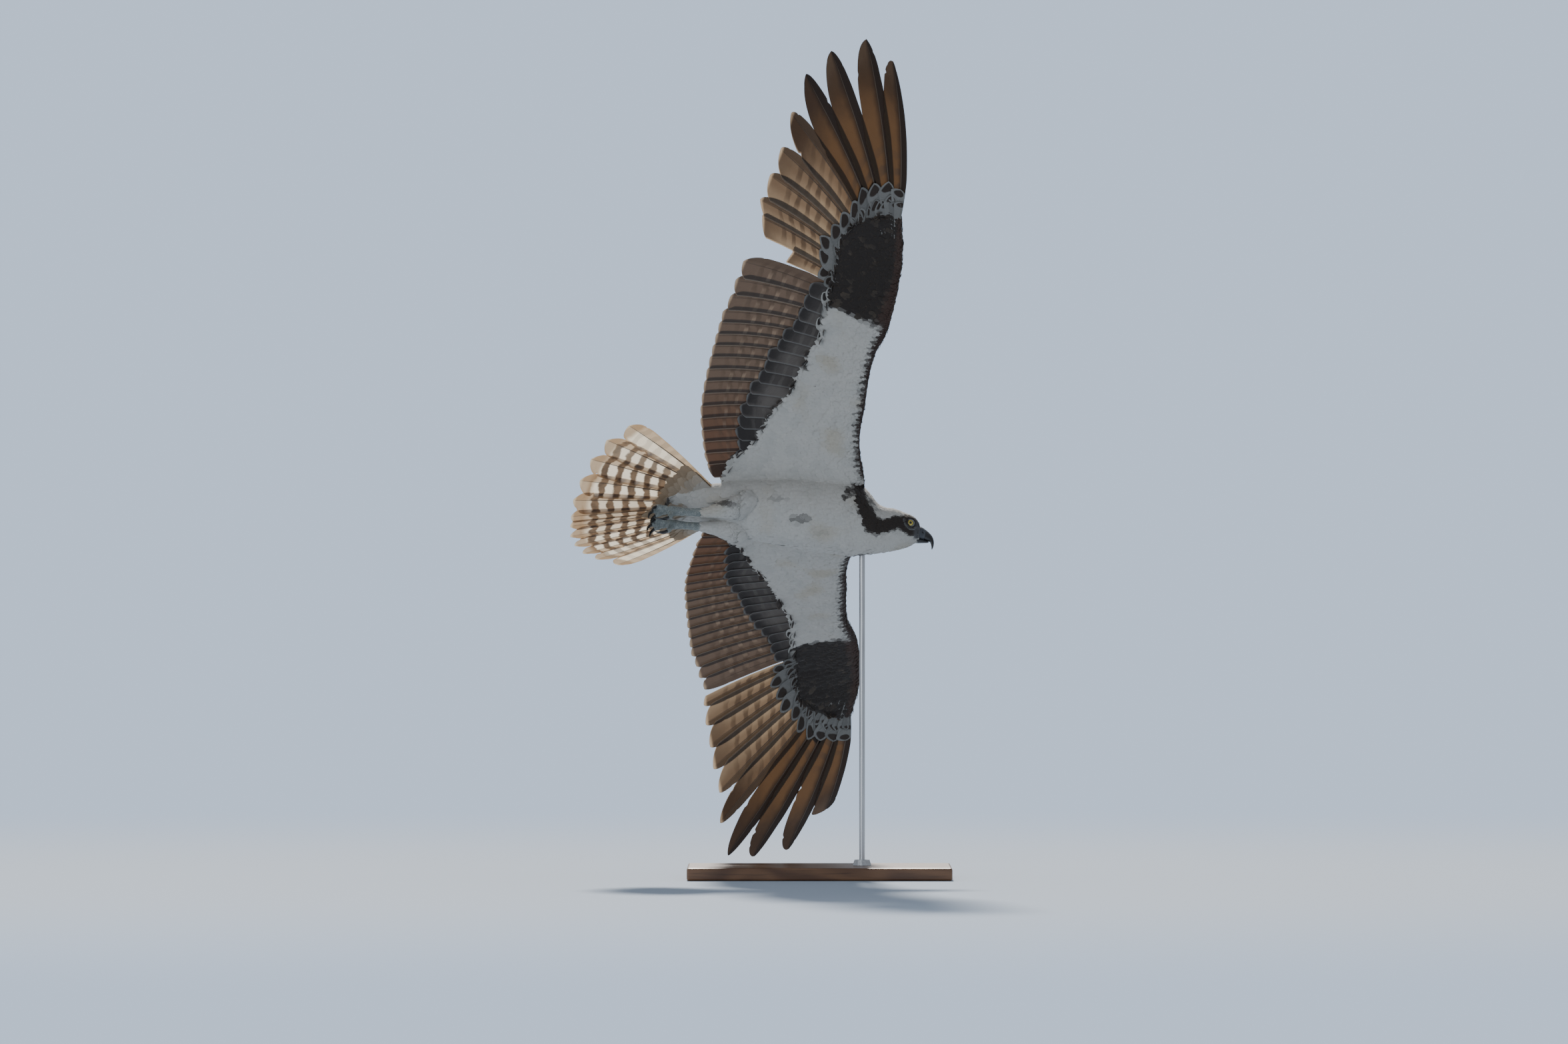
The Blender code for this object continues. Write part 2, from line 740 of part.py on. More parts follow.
def make_wing(side, name, body_cutter):
    rows = []
    for place in FLESH_ROWS:
        front, rear = seam_line(place, side)
        rows.append(flesh_row(front, rear, read(FLESH_HALF, place), side))
    arm = add(f"wing_{name}_arm", sheet(rows), "wing")
    pieces = []
    for i in range(1 - SECONDARIES, 1):
        pieces.append(flight_vane(i, side))
        pieces += covert_pair(i, side)
    fuse(arm, pieces)
    boolean(arm, "DIFFERENCE", body_cutter, solver="MANIFOLD")
    keep_largest(arm)

    front, rear = seam_line(0.5, side)
    along = Vector((rear[0] - front[0], rear[1] - front[1])).normalized()
    step = (GAP * -along.y, GAP * along.x)
    if step[1] < 0:
        step = (-step[0], -step[1])
    front = (front[0] + step[0], front[1] + step[1])
    rear = (rear[0] + step[0], rear[1] + step[1])
    rows = [flesh_row(front, rear, read(FLESH_HALF, 0.5), side)]
    for x, out, rear_x, rear_out, half in HAND_ROWS:
        rows.append(flesh_row((x, out), (rear_x, rear_out), half, side))
    hand = add(f"wing_{name}_hand", sheet(rows), "wing")
    pieces = []
    for i in range(1, 11):
        pieces.append(flight_vane(i, side))
        pieces += covert_pair(i, side)
    pieces += [alula_vane(k, side) for k in range(len(ALULA_VANES))]
    fuse(hand, pieces)


def alula_vane(k, side):
    tip_x, tip_out, wide, lift = ALULA_VANES[k]
    rows = []
    for s in (0, 0.3, 0.6, 0.85, 1):
        x, out = between(ALULA_ROOT, (tip_x, tip_out), s)
        half = wide * min(1, 0.55 + s) * taper(s, 0.7)
        row = []
        for edge in (-half, half):
            z = surface(x + edge, out) + 1.5 + (lift - 1.5) * s
            row.append((Vector((x + edge, side * out, z)), VANE_HALF, VANE_HALF))
        rows.append(row)
    return sheet(rows)


# Tail

def tail_shaft(k, t, side):
    """The k-th tail feather out from the middle, 1 to 6; side is 1 on the left."""
    x1, y1, z1 = TAIL_TIPS[k - 1]
    x0, y0, z0 = TAIL_ROOT_X, TAIL_ROOT_SPREAD * (k - 0.5), TAIL_ROOT_Z
    bow = TAIL_BOW * (k - 1) / 5
    long = math.hypot(x1 - x0, y1 - y0)
    swing = 2 * t * (1 - t) * bow / long
    x = x0 + (x1 - x0) * t 
    y = y0 + (y1 - y0) * t + (x0 - x1) * swing
    return Vector((x, side * y + TAIL_YAW * t, z0 + (z1 - z0) * t))


def tail_field(place, t, side):
    """A point between two tail feathers; under 1 it is between the two middle ones."""
    if place < 1:
        return tail_shaft(1, t, -side).lerp(tail_shaft(1, t, side), place)
    k = min(math.floor(place), 5)
    return tail_shaft(k, t, side).lerp(tail_shaft(k + 1, t, side), place - k)


def tail_vane(k, side, reach=1.0, lift=0.0):
    """A tail feather, or a covert over its root where the reach is under 1."""
    inner, outer = TAIL_WEBS
    covert = reach < 1
    if k == 1 and side < 0:
        lift += MIDDLE_STEP
    rows = []
    for s, wide in COVERT_WIDTHS if covert else TAIL_WIDTHS:
        t = (0.06 + (reach - 0.06) * s) if covert else s
        here = tail_shaft(k, t, side)
        back = (here - tail_field(k - 1, t, side)).length
        ahead = (tail_field(k + 1, t, side) - here).length
        share_in = min(inner * wide / back, MIDDLE_OVERLAP if k == 1 else MOST_OVERLAP)
        share_out = min(outer * wide / ahead, MOST_OVERLAP / 2)
        row = []
        for place in (k - share_in, k + share_out):
            point = tail_field(place, t, side)
            point.z += lift + (COVERT_STEP if covert else VANE_STEP) * (place - k)
            row.append((point, VANE_HALF, VANE_HALF))
        rows.append(row)
    return sheet(rows)


def make_tail():
    stations = body_length(-205, TORSO_BACK - GAP, 12)
    tail = add("tail", loft([body_ring(x) for x in stations]), "tail")
    pieces = []
    under, upper = TAIL_COVERT_REACH
    for side in (-1, 1):
        for k in range(1, 7):
            pieces.append(tail_vane(k, side))
            if k < 6:
                pieces.append(tail_vane(k, side, under * draw.uniform(0.94, 1.06), -TAIL_COVERT_LIFT))
                pieces.append(tail_vane(k, side, upper * draw.uniform(0.94, 1.06), TAIL_COVERT_LIFT))
    fuse(tail, pieces)


# Legs

def leg_line(rows, side):
    return [(Vector((x, side * y + LEG_SHIFT, z)), radius) for x, y, z, radius in rows]


def bend(start, way, down, length, curl, radii, steps):
    """Points along an arc that starts this way and curls towards down."""
    points = []
    spot, heading = start.copy(), way.copy()
    for k in range(steps + 1):
        radius = radii[0] + (radii[1] - radii[0]) * k / steps
        points.append((spot.copy(), radius))
        turn = curl * (k + 0.5) / steps
        heading = math.cos(turn) * way + math.sin(turn) * down
        spot += heading * length / steps
    return points, heading


def make_leg(side, name, body_cutter):
    upper, lower = leg_line(THIGH, side), leg_line(TARSUS, side)
    ankle = upper[-1][0]
    way = (lower[0][0] - ankle).normalized()
    thigh = add(f"leg_{name}_thigh", tube(upper, 16, last_way=way), "underparts")
    boolean(thigh, "DIFFERENCE", body_cutter)
    keep_largest(thigh)
    lower.insert(0, (ankle + way * GAP, ANKLE_RADIUS))
    add(f"leg_{name}_tarsus", tube(lower, 12, first_way=way, last_way=Vector((-1, 0, 0))), "foot")

    x, y, z = FOOT_AT
    middle = Vector((x, side * y + LEG_SHIFT, z))
    pad = bmesh.new()
    bmesh.ops.create_uvsphere(pad, u_segments=14, v_segments=8, radius=FOOT_PAD)
    bmesh.ops.scale(pad, vec=(0.8, 1, 0.85), verts=pad.verts)
    bmesh.ops.translate(pad, vec=middle, verts=pad.verts)
    foot = add(f"foot_{name}", pad, "foot")
    toes = []
    for k, (spread, length) in enumerate((*TOES, (0, HALLUX))):
        hallux = k == len(TOES)
        if hallux:
            way, down = Vector((0.25, 0, -1)).normalized(), Vector((-1, 0, -0.25)).normalized()
            start = middle + Vector((0.5, 0, -2))
        else:
            turn = math.radians(spread)
            way = Vector((-math.cos(turn), side * math.sin(turn), 0.12)).normalized()
            down = Vector((0, 0, -1))
            start = middle.copy()
        curl = HALLUX_CURL if hallux else TOE_CURL
        toe, heading = bend(start, way, down, length, curl, (TOE_RADIUS, TOE_RADIUS * 0.72), 3)
        toes.append(tube(toe, 7, last_way=heading))
        tip = toe[-1][0]
        curve = (down - down.dot(heading) * heading).normalized()
        claw, _ = bend(
            tip + heading * GAP, heading, curve, TALON_LENGTH, TALON_CURL, (TALON_RADIUS, 0.35), 5
        )
        add(f"talon_{name}_{k + 1}", tube(claw, 7, first_way=heading), "talon")
    fuse(foot, toes)


# Stand

def make_stand(body_cutter):
    form = bmesh.new()
    bmesh.ops.create_cube(form, size=1)
    bmesh.ops.scale(form, vec=BASE_SIZE, verts=form.verts)
    bmesh.ops.translate(form, vec=(0, 0, BASE_SIZE[2] / 2), verts=form.verts)
    base = add("stand_base", form, "base", posed=False)
    bevel = base.modifiers.new("edges", "BEVEL")
    bevel.width = BASE_BEVEL * MM
    bevel.segments = 2

    top = BASE_SIZE[2] + GAP
    collar = bmesh.new()
    bmesh.ops.create_cone(
        collar,
        cap_ends=True,
        segments=24,
        radius1=COLLAR_RADIUS,
        radius2=COLLAR_RADIUS * 0.8,
        depth=COLLAR_HEIGHT,
    )
    bmesh.ops.translate(collar, vec=(ROD_X, ROD_Y, top + COLLAR_HEIGHT / 2), verts=collar.verts)
    add("stand_collar", collar, "rod", posed=False)

    foot = top + COLLAR_HEIGHT + GAP
    reach = BODY_AT[2] - foot
    rod = bmesh.new()
    bmesh.ops.create_cone(
        rod, cap_ends=True, segments=20, radius1=ROD_RADIUS, radius2=ROD_RADIUS, depth=reach
    )
    bmesh.ops.translate(rod, vec=(ROD_X, ROD_Y, foot + reach / 2), verts=rod.verts)
    made = add("stand_rod", rod, "rod", posed=False)
    boolean(made, "DIFFERENCE", body_cutter)
    keep_largest(made)


body_cutter = make_body()
make_head()
for side, name in ((-1, "right"), (1, "left")):
    make_wing(side, name, body_cutter)
make_tail()
for side, name in ((-1, "right"), (1, "left")):
    make_leg(side, name, body_cutter)
make_stand(body_cutter)
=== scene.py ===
import math
import random

import bmesh
import bpy
import numpy as np
from mathutils import Matrix, Vector, noise


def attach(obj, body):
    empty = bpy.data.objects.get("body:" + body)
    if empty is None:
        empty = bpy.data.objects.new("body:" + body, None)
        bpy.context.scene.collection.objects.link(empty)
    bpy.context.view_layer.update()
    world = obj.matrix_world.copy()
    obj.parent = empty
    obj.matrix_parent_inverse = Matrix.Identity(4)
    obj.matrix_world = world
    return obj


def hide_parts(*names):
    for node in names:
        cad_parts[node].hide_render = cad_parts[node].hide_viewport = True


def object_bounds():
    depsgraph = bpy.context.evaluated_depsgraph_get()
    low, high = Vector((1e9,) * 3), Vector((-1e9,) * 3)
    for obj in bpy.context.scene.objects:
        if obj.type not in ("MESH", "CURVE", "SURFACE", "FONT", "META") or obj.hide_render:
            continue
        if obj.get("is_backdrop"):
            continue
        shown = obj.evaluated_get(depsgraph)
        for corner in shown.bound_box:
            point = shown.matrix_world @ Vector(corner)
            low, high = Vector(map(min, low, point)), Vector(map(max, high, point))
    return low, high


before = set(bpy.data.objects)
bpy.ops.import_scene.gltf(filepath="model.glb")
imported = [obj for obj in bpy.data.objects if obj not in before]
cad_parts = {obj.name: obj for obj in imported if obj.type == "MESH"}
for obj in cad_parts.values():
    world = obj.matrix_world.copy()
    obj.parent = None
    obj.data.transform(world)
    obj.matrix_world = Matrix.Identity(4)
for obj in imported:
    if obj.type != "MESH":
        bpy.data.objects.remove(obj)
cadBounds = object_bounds()
print("frame loaded")

# The bird is drawn in its own frame, in millimetres: x forward, y to its left, z out of its back
pose = {"bodyAt": (-42.4, 0.0, 586.0), "bank": 53.0, "noseDown": 5.5}
birdToWorld = (
    Matrix.Translation(Vector(pose["bodyAt"]) * 0.001)
    @ Matrix.Rotation(math.radians(pose["noseDown"]), 4, "Y")
    @ Matrix.Rotation(-math.radians(pose["bank"]), 4, "X")
    @ Matrix.Diagonal((0.001, 0.001, 0.001, 1))
)
birdMatrix = np.array(birdToWorld)
sides = ((-1, "right"), (1, "left"))


# Curves through tables

def readTable(table, at):  # every column at this place, by a smooth curve through the rows
    rows = list(table)
    at = min(max(at, rows[0][0]), rows[-1][0])
    i = max(k for k in range(len(rows) - 1) if rows[k][0] <= at)
    a, b = rows[i], rows[i + 1]
    before, after = rows[max(i - 1, 0)], rows[min(i + 2, len(rows) - 1)]
    span = b[0] - a[0]
    t = (at - a[0]) / span
    found = []
    for c in range(1, len(a)):
        slopeA = (b[c] - before[c]) / (b[0] - before[0]) * span
        slopeB = (after[c] - a[c]) / (after[0] - a[0]) * span
        found.append(
            a[c] * (1 + 2 * t) * (1 - t) ** 2 + slopeA * t * (1 - t) ** 2
            + b[c] * t * t * (3 - 2 * t) + slopeB * t * t * (t - 1)
        )
    return found if len(found) > 1 else found[0]


def between(a, b, t):
    return tuple(p + (q - p) * t for p, q in zip(a, b))


def smoothStep(low, high, value):
    t = np.clip((value - low) / (high - low), 0, 1)
    return t * t * (3 - 2 * t)


def spread(points, scale, seed=0.0):  # smooth noise for many points, -1 to 1
    return np.array([noise.noise(Vector((p[0] / scale + seed, p[1] / scale, p[2] / scale))) for p in points])


# Meshes

def toWorld(points):
    return np.asarray(points, float).reshape(-1, 3) @ birdMatrix[:3, :3].T + birdMatrix[:3, 3]


def toBird(points):
    back = np.linalg.inv(birdMatrix)
    return np.asarray(points, float).reshape(-1, 3) @ back[:3, :3].T + back[:3, 3]


def meshObject(name, points, faces, finish=None, values=None, sharp=35):
    mesh = bpy.data.meshes.new(name)
    mesh.from_pydata(toWorld(points).tolist(), [], faces)
    for key, numbers in (values or {}).items():
        kind = "FLOAT" if np.ndim(numbers) == 1 else "FLOAT_VECTOR"
        mesh.attributes.new(key, kind, "POINT").data.foreach_set(
            "value" if kind == "FLOAT" else "vector", np.asarray(numbers, np.float32).ravel()
        )
    mesh.shade_smooth()
    if sharp:
        mesh.set_sharp_from_angle(angle=math.radians(sharp))
    made = bpy.data.objects.new(name, mesh)
    bpy.context.scene.collection.objects.link(made)
    if finish:
        mesh.materials.append(finish)
    return made


def settle(made, slotName, *nodes):  # rides on the one body, and stands for these CAD nodes
    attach(made, "root")
    if nodes:
        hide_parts(*nodes)
    return made


def plainMesh(made):  # the modifiers' result as the object's own mesh
    graph = bpy.context.evaluated_depsgraph_get()
    mesh = bpy.data.meshes.new_from_object(made.evaluated_get(graph))
    made.modifiers.clear()
    made.data = mesh
    return made


class Sheaf:  # gathers many small shapes into one mesh
    def __init__(self, *keys):
        self.points, self.faces, self.count = [], [], 0
        self.values = {key: [] for key in keys}

    def add(self, points, faces, **values):
        points = np.asarray(points, float).reshape(-1, 3)
        self.faces += [tuple(k + self.count for k in face) for face in faces]
        self.points.append(points)
        self.count += len(points)
        for key, numbers in values.items():
            numbers = np.asarray(numbers, float)
            if numbers.ndim == 1 and len(numbers) == 3 and key in ("vane", "kind"):
                numbers = np.tile(numbers, (len(points), 1))
            self.values[key].append(numbers)

    def finish(self, name, finish, **more):
        values = {key: np.concatenate(parts) for key, parts in self.values.items()}
        return meshObject(name, np.concatenate(self.points), self.faces, finish, values, **more)




def gridFaces(rows, columns):  # a closed thin sheet: its upper grid, then its lower one
    faces = []
    under = rows * columns
    at = lambda r, c: r * columns + c
    for r in range(rows - 1):
        for c in range(columns - 1):
            a, b, d, e = at(r, c), at(r + 1, c), at(r + 1, c + 1), at(r, c + 1)
            faces += [(a, e, d, b), (a + under, b + under, d + under, e + under)]
        for c, order in ((0, 1), (columns - 1, -1)):
            faces.append((at(r, c), at(r + 1, c), at(r + 1, c) + under, at(r, c) + under)[::order])
    for r, order in ((0, -1), (rows - 1, 1)):
        for c in range(columns - 1):
            faces.append((at(r, c), at(r, c + 1), at(r, c + 1) + under, at(r, c) + under)[::order])
    return faces


def ringFaces(rings, around, closed=True):
    faces = []
    for r in range(rings - 1):
        for k in range(around):
            n = (k + 1) % around
            faces.append((r * around + k, r * around + n, (r + 1) * around + n, (r + 1) * around + k))
    if closed:
        faces.append(tuple(range(around))[::-1])
        faces.append(tuple((rings - 1) * around + k for k in range(around)))
    return faces


# Shader wiring: arithmetic on sockets, so that a marking reads as a sum

class Wire:
    def __init__(self, tree, socket):
        self.tree, self.socket = tree, socket

    def op(self, kind, other=None, third=None, flip=False):
        node = self.tree.nodes.new("ShaderNodeMath")
        node.operation = kind
        values = [self, other] if not flip else [other, self]
        for k, value in enumerate(values + [third]):
            if isinstance(value, Wire):
                self.tree.links.new(value.socket, node.inputs[k])
            elif value is not None:
                node.inputs[k].default_value = value
        return Wire(self.tree, node.outputs[0])

    def __add__(self, other): return self.op("ADD", other)
    def __radd__(self, other): return self.op("ADD", other)
    def __sub__(self, other): return self.op("SUBTRACT", other)
    def __rsub__(self, other): return self.op("SUBTRACT", other, flip=True)
    def __mul__(self, other): return self.op("MULTIPLY", other)
    def __rmul__(self, other): return self.op("MULTIPLY", other)
    def high(self, other): return self.op("MAXIMUM", other)
    def low(self, other): return self.op("MINIMUM", other)
    def size(self): return self.op("ABSOLUTE")
    def sine(self): return self.op("SINE")

    def rise(self, low, high):  # 0 below the low value, 1 above the high one, smooth between
        node = self.tree.nodes.new("ShaderNodeMapRange")
        node.interpolation_type = "SMOOTHSTEP"
        self.tree.links.new(self.socket, node.inputs["Value"])
        node.inputs["From Min"].default_value = low
        node.inputs["From Max"].default_value = high
        return Wire(self.tree, node.outputs[0])

    def fall(self, low, high):
        return 1 - self.rise(low, high)


def newFinish(name, roughness=0.7, metallic=0.0, **fixed):
    made = bpy.data.materials.new(name)
    made.use_nodes = True
    shader = made.node_tree.nodes["Principled BSDF"]
    shader.inputs["Roughness"].default_value = roughness
    shader.inputs["Metallic"].default_value = metallic
    for key, value in fixed.items():
        shader.inputs[key.replace("_", " ")].default_value = value
    return made, made.node_tree, shader


def attribute(tree, name):  # the attribute's three numbers, its fourth, and all of it
    node = tree.nodes.new("ShaderNodeAttribute")
    node.attribute_name = name
    parts = tree.nodes.new("ShaderNodeSeparateXYZ")
    tree.links.new(node.outputs["Vector"], parts.inputs[0])
    return [Wire(tree, parts.outputs[k]) for k in range(3)] + [Wire(tree, node.outputs["Fac"]), node.outputs["Color"]]


def grain(tree, scale, detail=3.0, stretch=None, vector=None, roughness=0.5):
    if vector is None:
        vector = tree.nodes.new("ShaderNodeTexCoord").outputs["Object"]
    if stretch is not None:
        mapping = tree.nodes.new("ShaderNodeMapping")
        mapping.inputs["Scale"].default_value = stretch
        tree.links.new(vector, mapping.inputs["Vector"])
        vector = mapping.outputs[0]
    node = tree.nodes.new("ShaderNodeTexNoise")
    node.inputs["Scale"].default_value = scale
    node.inputs["Detail"].default_value = detail
    node.inputs["Roughness"].default_value = roughness
    tree.links.new(vector, node.inputs["Vector"])
    return Wire(tree, node.outputs["Fac"])


def joined(tree, x, y, z=0.0):  # three numbers as a vector
    node = tree.nodes.new("ShaderNodeCombineXYZ")
    for k, value in enumerate((x, y, z)):
        if isinstance(value, Wire):
            tree.links.new(value.socket, node.inputs[k])
        else:
            node.inputs[k].default_value = value
    return node.outputs[0]


def blend(tree, share, first, second, how="MIX"):
    node = tree.nodes.new("ShaderNodeMix")
    node.data_type = "RGBA"
    node.blend_type = how
    node.clamp_factor = True
    if isinstance(share, Wire):
        tree.links.new(share.socket, node.inputs["Factor"])
    else:
        node.inputs["Factor"].default_value = share
    for k, value in ((6, first), (7, second)):
        if isinstance(value, tuple):
            node.inputs[k].default_value = (*value, 1)
        else:
            tree.links.new(value, node.inputs[k])
    return node.outputs[2]


def relief(tree, shader, height, strength, distance=0.001):
    node = tree.nodes.new("ShaderNodeBump")
    node.inputs["Strength"].default_value = strength
    node.inputs["Distance"].default_value = distance
    tree.links.new(height.socket, node.inputs["Height"])
    tree.links.new(node.outputs[0], shader.inputs["Normal"])


def letThrough(tree, shader, colour, share, glow=None):  # light from behind shows through a thin vane
    through = tree.nodes.new("ShaderNodeBsdfTranslucent")
    tree.links.new(colour if glow is None else glow, through.inputs["Color"])
    mixed = tree.nodes.new("ShaderNodeMixShader")
    if isinstance(share, Wire):
        tree.links.new(share.socket, mixed.inputs[0])
    else:
        mixed.inputs[0].default_value = share
    tree.links.new(shader.outputs[0], mixed.inputs[1])
    tree.links.new(through.outputs[0], mixed.inputs[2])
    tree.links.new(mixed.outputs[0], tree.nodes["Material Output"].inputs["Surface"])


# Wing shape: distance out from the body's axis, then x and height of the leading edge, chord, fall, camber
wingSurface = (
    (30, 106, 3, 245, 4, 12), (65, 107.7, 12, 255, 10, 14), (107, 97, 26, 253, 22, 16),
    (147, 93.5, 38, 253, 30, 18), (192, 97, 51.6, 257, 33, 19), (240, 99, 66, 256, 37, 20),
    (280, 105.5, 78, 258, 43, 20), (310, 118, 87, 263, 48, 20), (348, 127.5, 98.5, 266, 53, 20),
    (380, 134.5, 108, 264, 56, 20), (410, 136, 116, 256, 53, 19), (460, 134, 122, 240, 43, 16),
    (500, 133, 128, 233, 43, 13), (565, 127.5, 140, 216, 51, 9), (623, 124, 152, 195, 57, 6),
    (666, 119.5, 162, 184, 61, 3), (703, 113, 170, 174, 65, 0), (737, 103.5, 178, 160, 68, -2),
    (770, 92, 186, 145, 70, -3), (830, 86, 198, 125, 72, -4),
)
quills = {
    "primaryTips": {  # x and distance out, inner first
        -1: ((-90, 462), (-92, 501), (-98, 537), (-86, 583), (-73, 632),
             (-62, 695), (-45, 762), (-9, 797), (44, 806), (89, 759)),
        1: ((-113, 466), (-107, 510), (-97, 557), (-88, 604), (-75, 657),
            (-69, 727), (-51, 807), (-9, 820), (46, 823), (93, 785)),
    },
    "growing": {(-1, 1): 0.74, (1, 10): 0.855},  # new feathers, and the share of their length they have reached
    "bows": (0, 4, 6, 8, 8, 9, 10, 12, 16, 24),
    "inner": (38, 38, 38, 38, 36, 30, 29, 29, 29, 26),
    "outer": (16, 16, 16, 15, 14, 13, 12, 12, 11, 9),
    "taper": (0.9, 0.9, 0.9, 0.9, 0.87, 0.82, 0.79, 0.77, 0.75, 0.54),
    "outerTips": (427, 397, 368.5, 343),
    "innermostTip": 68,
    "secondaries": 17,
    "secondaryBow": 5,
    "secondaryWebs": (30, 15),
    "ulnaSecondaries": 12,
    "trailingEdge": ((60, -138), (85, -147), (127, -155), (171, -161), (233, -157),
                     (343, -140), (368, -131), (397, -124.5), (427, -115)),
    "wrist": (104, 342), "handEnd": (120, 450), "ulnaEnd": (95, 330), "elbow": (5, 158), "shoulder": (30, 66),
    "step": 1.4, "half": 0.26, "overlap": 0.86, "seam": 0.48,
}
firstSecondary = 1 - quills["secondaries"]


def wingHeight(x, out):
    edge, high, chord, fall, camber = readTable(wingSurface, out)
    u = (edge - x) / chord
    return high - fall * u + camber * 4 * u * (1 - u)


def shaftEnds(i, side):  # 1 to 10 are the primaries, inner first; 0, -1 and on are the secondaries, outer first
    q = quills
    if i >= 1:
        return between(q["wrist"], q["handEnd"], (i - 1) / 9), q["primaryTips"][side][i - 1]
    k = 1 - i
    if k <= q["ulnaSecondaries"]:
        root = between(q["ulnaEnd"], q["elbow"], (k - 1) / (q["ulnaSecondaries"] - 1))
    else:
        root = between(q["elbow"], q["shoulder"],
                       (k - q["ulnaSecondaries"]) / (q["secondaries"] - q["ulnaSecondaries"]))
    tips = q["outerTips"]
    if k <= len(tips):
        out = tips[k - 1]
    else:
        out = tips[-1] + (q["innermostTip"] - tips[-1]) * (k - len(tips)) / (q["secondaries"] - len(tips))
    return root, (readTable(q["trailingEdge"], out), out)


shaftCache = {}


def shaftPoint(i, t, side):
    key = (i, round(t, 5), side)
    if key not in shaftCache:
        root, tip = shaftEnds(i, side)
        bow = quills["bows"][i - 1] if i >= 1 else (quills["secondaryBow"] if i < 0 else 0)
        dx, dy = tip[0] - root[0], tip[1] - root[1]
        swing = 2 * t * (1 - t) * bow / math.hypot(dx, dy)
        x = root[0] + dx * t + dy * swing
        out = root[1] + dy * t - dx * swing
        shaftCache[key] = Vector((x, side * out, wingHeight(x, out)))
    return shaftCache[key]


def wingField(place, t, side):  # a point on the fan of shafts, also between two feathers
    i = min(max(math.floor(place), firstSecondary), 9)
    return shaftPoint(i, t, side).lerp(shaftPoint(i + 1, t, side), place - i)


def webShares(i, t, side, inner, outer):  # how far both webs reach, as shares of the way to the next shafts
    here = shaftPoint(i, t, side)
    along = (shaftPoint(i, t + 0.02, side) - shaftPoint(i, t - 0.02, side)).normalized()
    shares = []
    for place, wide in ((i - 1, inner), (i + 1, outer)):
        way = wingField(place, t, side) - here
        shares.append(wide / (way - way.dot(along) * along).length)
    mostBack = quills["seam"] if i == 1 else quills["overlap"]
    mostAhead = quills["seam"] if i == 0 else quills["overlap"] / 2
    if i == firstSecondary:
        mostBack = 1
    return min(shares[0], mostBack), min(shares[1], mostAhead)


# Feathers as fine closed vanes: across -1 is the inner edge, 0 the shaft, 1 the outer edge
vaneAcross = (-1, -0.84, -0.62, -0.4, -0.2, -0.05, 0.06, 0.3, 0.62, 0.86, 1)
plainAcross = (-1, -0.7, -0.35, 0, 0.35, 0.7, 1)


def stationsTo(count, power=1.5):  # closer together towards the tip
    return [1 - (1 - k / (count - 1)) ** power for k in range(count)]


def roundEnd(s, start):
    return 1.0 if s <= start else math.sqrt(max(0, 1 - ((s - start) / (1.0006 - start)) ** 2))


def addVane(sheaf, rows, across, half, place, side, chance, arch=0.5, ruffle=0.15, shaftSize=None):
    # rows: for each station its share along, and the points across it
    shape = np.array([[tuple(p) for p in points] for _, points in rows], float)
    along = np.array([s for s, _ in rows])
    c = np.array(across)
    wave = ruffle * np.sin(along[:, None] * 37 * (0.8 + 0.4 * chance) + 5 * c[None, :] + 6.3 * chance)
    shape[:, :, 2] += arch * (0.25 - c[None, :] ** 2) + wave * np.abs(c)[None, :]
    thick = half * (1 - 0.6 * np.abs(c))[None, :] * np.ones(len(along))[:, None]
    upper, lower = shape.copy(), shape.copy()
    upper[:, :, 2] += thick
    lower[:, :, 2] -= thick
    count = len(along) * len(c)
    vane = np.stack([np.tile(c, len(along)), np.repeat(along, len(c)), np.zeros(count)], 1)
    kind = np.tile((place, side, chance), (2 * count, 1))
    face = np.concatenate([np.ones(count), np.zeros(count)])
    sheaf.add(np.concatenate([upper.reshape(-1, 3), lower.reshape(-1, 3)]), gridFaces(len(along), len(c)),
              vane=np.concatenate([vane, vane]), kind=kind, upper=face)
    if not shaftSize:
        return
    middle = []  # the shaft, a fine tapering rod sunk in the vane
    for k, (s, points) in enumerate(rows[:-2]):
        before = next(n for n, a in enumerate(across) if a > 0) - 1
        p, q = shape[k, before], shape[k, before + 1]
        share = -across[before] / (across[before + 1] - across[before])
        middle.append((s, p + (q - p) * share))
    rod, steps = [], 6
    for k, (s, point) in enumerate(middle):
        ahead = middle[min(k + 1, len(middle) - 1)][1] - middle[max(k - 1, 0)][1]
        ahead = ahead / np.linalg.norm(ahead)
        out = np.cross(ahead, (0, 0, 1))
        size = shaftSize * (1 - s) ** 0.8 + 0.16
        for n in range(steps):
            a = 2 * math.pi * n / steps
            rod.append(point + size * (math.cos(a) * out + math.sin(a) * np.array((0, 0, 1))))
    count = len(rod)
    sheaf.add(rod, ringFaces(len(middle), steps),
              vane=np.stack([np.zeros(count), np.repeat([s for s, _ in middle], steps), np.ones(count)], 1),
              kind=np.tile((place, side, chance), (count, 1)), upper=np.full(count, 0.5))


def notches(draw, count, low, high, deepest):  # short splits between the barbs at a web's edge
    return [(draw.uniform(low, high), draw.uniform(0.3, 1) * deepest, draw.uniform(0.005, 0.011)) for _ in range(count)]


def split(s, cuts):
    lost = 0.0
    for at, deep, wide in cuts:
        lost = max(lost, deep * max(0, 1 - abs(s - at) / wide))
    return 1 - lost


# Flight feathers

